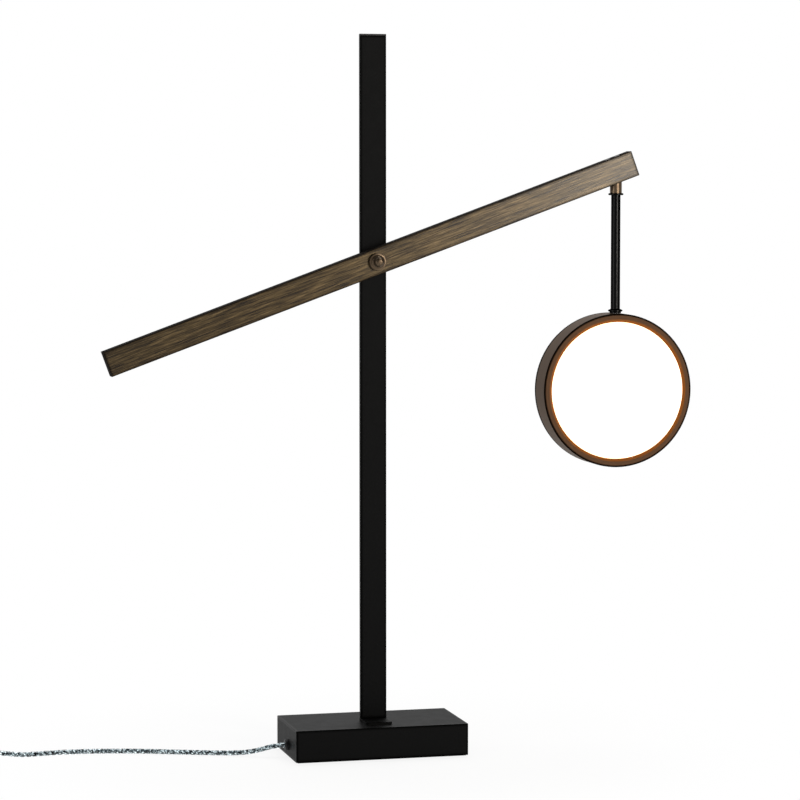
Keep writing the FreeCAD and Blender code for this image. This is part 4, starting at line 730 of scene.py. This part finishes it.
clear, tree, shader = material("clear_pvc", (0.78, 0.86, 0.88), roughness=0.08,
                               Transmission_Weight=1.0, IOR=1.45)
haze = use_group(tree, tooth, placed(tree), Scale=1500.0)
rough = spread(tree, (haze, "Broad"), low=0.04, high=0.12)
link(tree, rough, 0, shader, "Roughness")

cord = cord_curve("mains_cord", route, bevel=CORD_RADIUS, resolution=5)
cord.data.materials.append(clear)
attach(cord, "stand")
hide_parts("cord_lead", "cord_mid", "cord_coil", "cord_tail")

prong_nickel = plated_steel("prong_nickel", (0.60, 0.57, 0.50), rough_low=0.20, rough_high=0.34)
dress(prong_nickel, "plug_prongs")

# The cores are twisted about the line of the cord's own spline.
CORE_RADIUS = 0.00105
CORE_OFFSET = 0.00108
CORE_PITCH = 0.0125
CORE_STEP = 0.0015

guide = cord_curve("guide", route, bevel=0.0, resolution=20)
line = bpy.data.meshes.new_from_object(guide)
dense = [v.co.copy() for v in line.vertices]
bpy.data.objects.remove(guide)
bpy.data.meshes.remove(line)
trail = [dense[0]]
for spot in dense:
    if (spot - trail[-1]).length >= CORE_STEP:
        trail.append(spot)

silver, tree, shader = material("silvered_core", (0.45, 0.50, 0.52), roughness=0.3, metallic=0.8)
lay = use_group(tree, tooth, placed(tree), Scale=480.0)
braid = ramp(tree, (lay, "Fine"), (
    (0.42, (0.004, 0.007, 0.009)), (0.50, (0.13, 0.17, 0.19)), (0.60, (0.90, 0.95, 0.97))))
link(tree, braid, 0, shader, "Base Color")
raised(tree, shader, (lay, "Fine"), strength=0.6, distance=0.0002)


def core_curve(name, phase):
    """One core, wound round the cord's line at an even pitch."""
    curve = bpy.data.curves.new(name, "CURVE")
    curve.dimensions = "3D"
    curve.bevel_depth = CORE_RADIUS
    curve.bevel_resolution = 1
    curve.use_fill_caps = True
    spline = curve.splines.new("POLY")
    spline.points.add(len(trail) - 1)
    ahead = (trail[1] - trail[0]).normalized()
    side = ahead.cross(Vector((0, 0, 1))).normalized()
    travelled = 0.0
    for number, spot in enumerate(trail):
        after = trail[min(number + 1, len(trail) - 1)] - trail[max(number - 1, 0)]
        turn = ahead.rotation_difference(after)
        side = turn @ side
        ahead = after.normalized()
        if number:
            travelled += (spot - trail[number - 1]).length
        angle = math.tau * travelled / CORE_PITCH + phase
        up = ahead.cross(side)
        place = spot + (side * math.cos(angle) + up * math.sin(angle)) * CORE_OFFSET
        spline.points[number].co = (*place, 1.0)
    piece = bpy.data.objects.new(name, curve)
    bpy.context.scene.collection.objects.link(piece)
    curve.materials.append(silver)
    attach(piece, "stand")
    return piece


cores = [core_curve("cord_core_%d" % number, math.pi * number) for number in range(2)]


# ---------------------------------------------------------------- coil tie
# A strip of black hook-and-loop tape goes once round the coil's turns, which
# keeps them together.

TIE_WIDTH = 0.0090
inner = COIL_RADIUS - COIL_PITCH * (COIL_RINGS - 1) - CORD_RADIUS
outer = COIL_RADIUS + CORD_RADIUS
low = TIE_THICKNESS
high = TIE_THICKNESS + 4 * CORD_RADIUS
shape = bmesh.new()
corners = [shape.verts.new((reach, -TIE_WIDTH / 2, height))
           for reach, height in ((inner, low), (outer, low), (outer, high), (inner, high))]
hoop = [shape.edges.new((corners[n - 1], corners[n])) for n in range(len(corners))]
wall = bmesh.ops.extrude_edge_only(shape, edges=hoop)["geom"]
far_side = [part for part in wall if isinstance(part, bmesh.types.BMVert)]
bmesh.ops.translate(shape, vec=(0, TIE_WIDTH, 0), verts=far_side)
folds = [edge for edge in shape.edges
         if abs(edge.verts[0].co.y - edge.verts[1].co.y) > TIE_WIDTH / 2]
bmesh.ops.bevel(shape, geom=folds, offset=CORD_RADIUS, offset_type="OFFSET", affect="EDGES",
                segments=5, profile=0.5, material=-1)
bmesh.ops.recalc_face_normals(shape, faces=shape.faces)
shape.transform(Matrix.Translation(COIL_CENTRE) @ Matrix.Rotation(math.radians(TIE_ANGLE), 4, "Z"))
tape, tree, shader = material("hook_and_loop", (0.014, 0.014, 0.015), roughness=0.9,
                              Sheen_Weight=0.3)
pile = use_group(tree, tooth, placed(tree), Scale=3000.0)
raised(tree, shader, (pile, "Fine"), strength=0.8, distance=0.0003)
tie = finished("coil_tie", shape, "stand", tape)
thick = tie.modifiers.new("tape_thickness", "SOLIDIFY")
thick.thickness = TIE_THICKNESS
thick.offset = 1.0


# ---------------------------------------------------------------- floor and light
# A plain pale floor, two tall softboxes in front at the right and at the left, a
# soft light overhead, and a studio that is bright behind the lamp.

FLOOR_HALF = 9.0
MIRRORED_SHARE = 0.7
LAMP_MIDDLE = Vector((0.05, 0.0, 0.40))
shape = bmesh.new()
bmesh.ops.create_grid(shape, x_segments=1, y_segments=1, size=FLOOR_HALF)
mesh = bpy.data.meshes.new("floor")
shape.to_mesh(mesh)
shape.free()
floor = bpy.data.objects.new("floor", mesh)
bpy.context.scene.collection.objects.link(floor)
paper, tree, shader = material("floor_paper", (0.86, 0.86, 0.86), roughness=0.8,
                               Specular_IOR_Level=0.2)
seen = tree.nodes.new("ShaderNodeLightPath")
glow = tree.nodes.new("ShaderNodeEmission")
glow.inputs["Color"].default_value = (1.0, 1.0, 1.0, 1.0)
glow.inputs["Strength"].default_value = 1.0
mirrored = math_node(tree, "MULTIPLY", (seen, "Is Glossy Ray"), MIRRORED_SHARE)
lift = math_node(tree, "MAXIMUM", (seen, "Is Camera Ray"), (mirrored, 0))
lift = math_node(tree, "MAXIMUM", (lift, 0), (seen, "Is Transmission Ray"))
afar = use_group(tree, off_axis, placed(tree, turn=(QUARTER_TURN, 0, 0)), From=0.12, To=0.42)
white = spread(tree, (afar, "Mask"), low=0.86, high=1.0)
lift = math_node(tree, "MULTIPLY", (lift, 0), (white, 0))
blend = tree.nodes.new("ShaderNodeMixShader")
link(tree, lift, 0, blend, 0)
link(tree, shader, 0, blend, 1)
link(tree, glow, 0, blend, 2)
link(tree, blend, 0, tree.nodes["Material Output"], "Surface")
floor.data.materials.append(paper)


def softbox(name, yaw, distance, height, width, tall, power, colour=(1.0, 1.0, 1.0)):
    """A rectangular light that faces the lamp; yaw is from the front to the right."""
    light = bpy.data.lights.new(name, "AREA")
    light.shape = "RECTANGLE"
    light.size = width
    light.size_y = tall
    light.energy = power
    light.color = colour
    lamp = bpy.data.objects.new(name, light)
    turn = math.radians(yaw)
    place = Vector((math.sin(turn) * distance, -math.cos(turn) * distance, height))
    facing = (place - LAMP_MIDDLE).to_track_quat("Z", "Y").to_matrix().to_4x4()
    lamp.matrix_world = Matrix.Translation(place) @ facing
    bpy.context.scene.collection.objects.link(lamp)


softbox("softbox_right", yaw=27.0, distance=2.6, height=0.9, width=0.5, tall=1.4, power=39.5,
        colour=(1.0, 0.95, 0.88))
softbox("softbox_left", yaw=-62.0, distance=2.4, height=0.8, width=0.5, tall=1.4, power=10.0)
softbox("softbox_top", yaw=150.0, distance=1.0, height=2.6, width=1.6, tall=1.6, power=39.0)

studio = bpy.data.worlds.new("studio")
studio.use_nodes = True
bpy.context.scene.world = studio
tree = studio.node_tree
surroundings = tree.nodes["Background"]
direction = tree.nodes.new("ShaderNodeTexCoord")
apart = tree.nodes.new("ShaderNodeSeparateXYZ")
link(tree, direction, "Generated", apart, 0)
behind = tree.nodes.new("ShaderNodeMapRange")
behind.interpolation_type = "SMOOTHSTEP"
behind.inputs["From Min"].default_value = -0.4
behind.inputs["From Max"].default_value = 0.7
behind.inputs["To Min"].default_value = 0.05
behind.inputs["To Max"].default_value = 0.90
link(tree, apart, "Y", behind, "Value")
seen = tree.nodes.new("ShaderNodeLightPath")
direct = math_node(tree, "MAXIMUM", (seen, "Is Camera Ray"), (seen, "Is Transmission Ray"))
level = math_node(tree, "MAXIMUM", (behind, 0), (direct, 0))
link(tree, level, 0, surroundings, "Strength")
surroundings.inputs["Color"].default_value = (1.0, 1.0, 1.0, 1.0)


# ---------------------------------------------------------------- camera
# The camera stands nearly three metres in front of the lamp, to the left and just
# above the pivot, with a long lens.

CAMERA_PLACE = Vector((-0.691977, -2.851391, 0.561937))
CAMERA_TARGET = Vector((0.02832, 0.0, 0.345374))
SENSOR_WIDTH = 36.0
FOCAL_PIXELS = 3021.36
FRAME_PIXELS = 800
camera_data = bpy.data.cameras.new("camera")
camera_data.sensor_width = SENSOR_WIDTH
camera_data.lens = FOCAL_PIXELS / FRAME_PIXELS * SENSOR_WIDTH
camera = bpy.data.objects.new("camera", camera_data)
bpy.context.scene.collection.objects.link(camera)
camera.location = CAMERA_PLACE
camera.rotation_mode = "QUATERNION"
camera.rotation_quaternion = (CAMERA_TARGET - CAMERA_PLACE).to_track_quat("-Z", "Y")
bpy.context.scene.camera = camera
bpy.context.scene.view_settings.view_transform = "Standard"
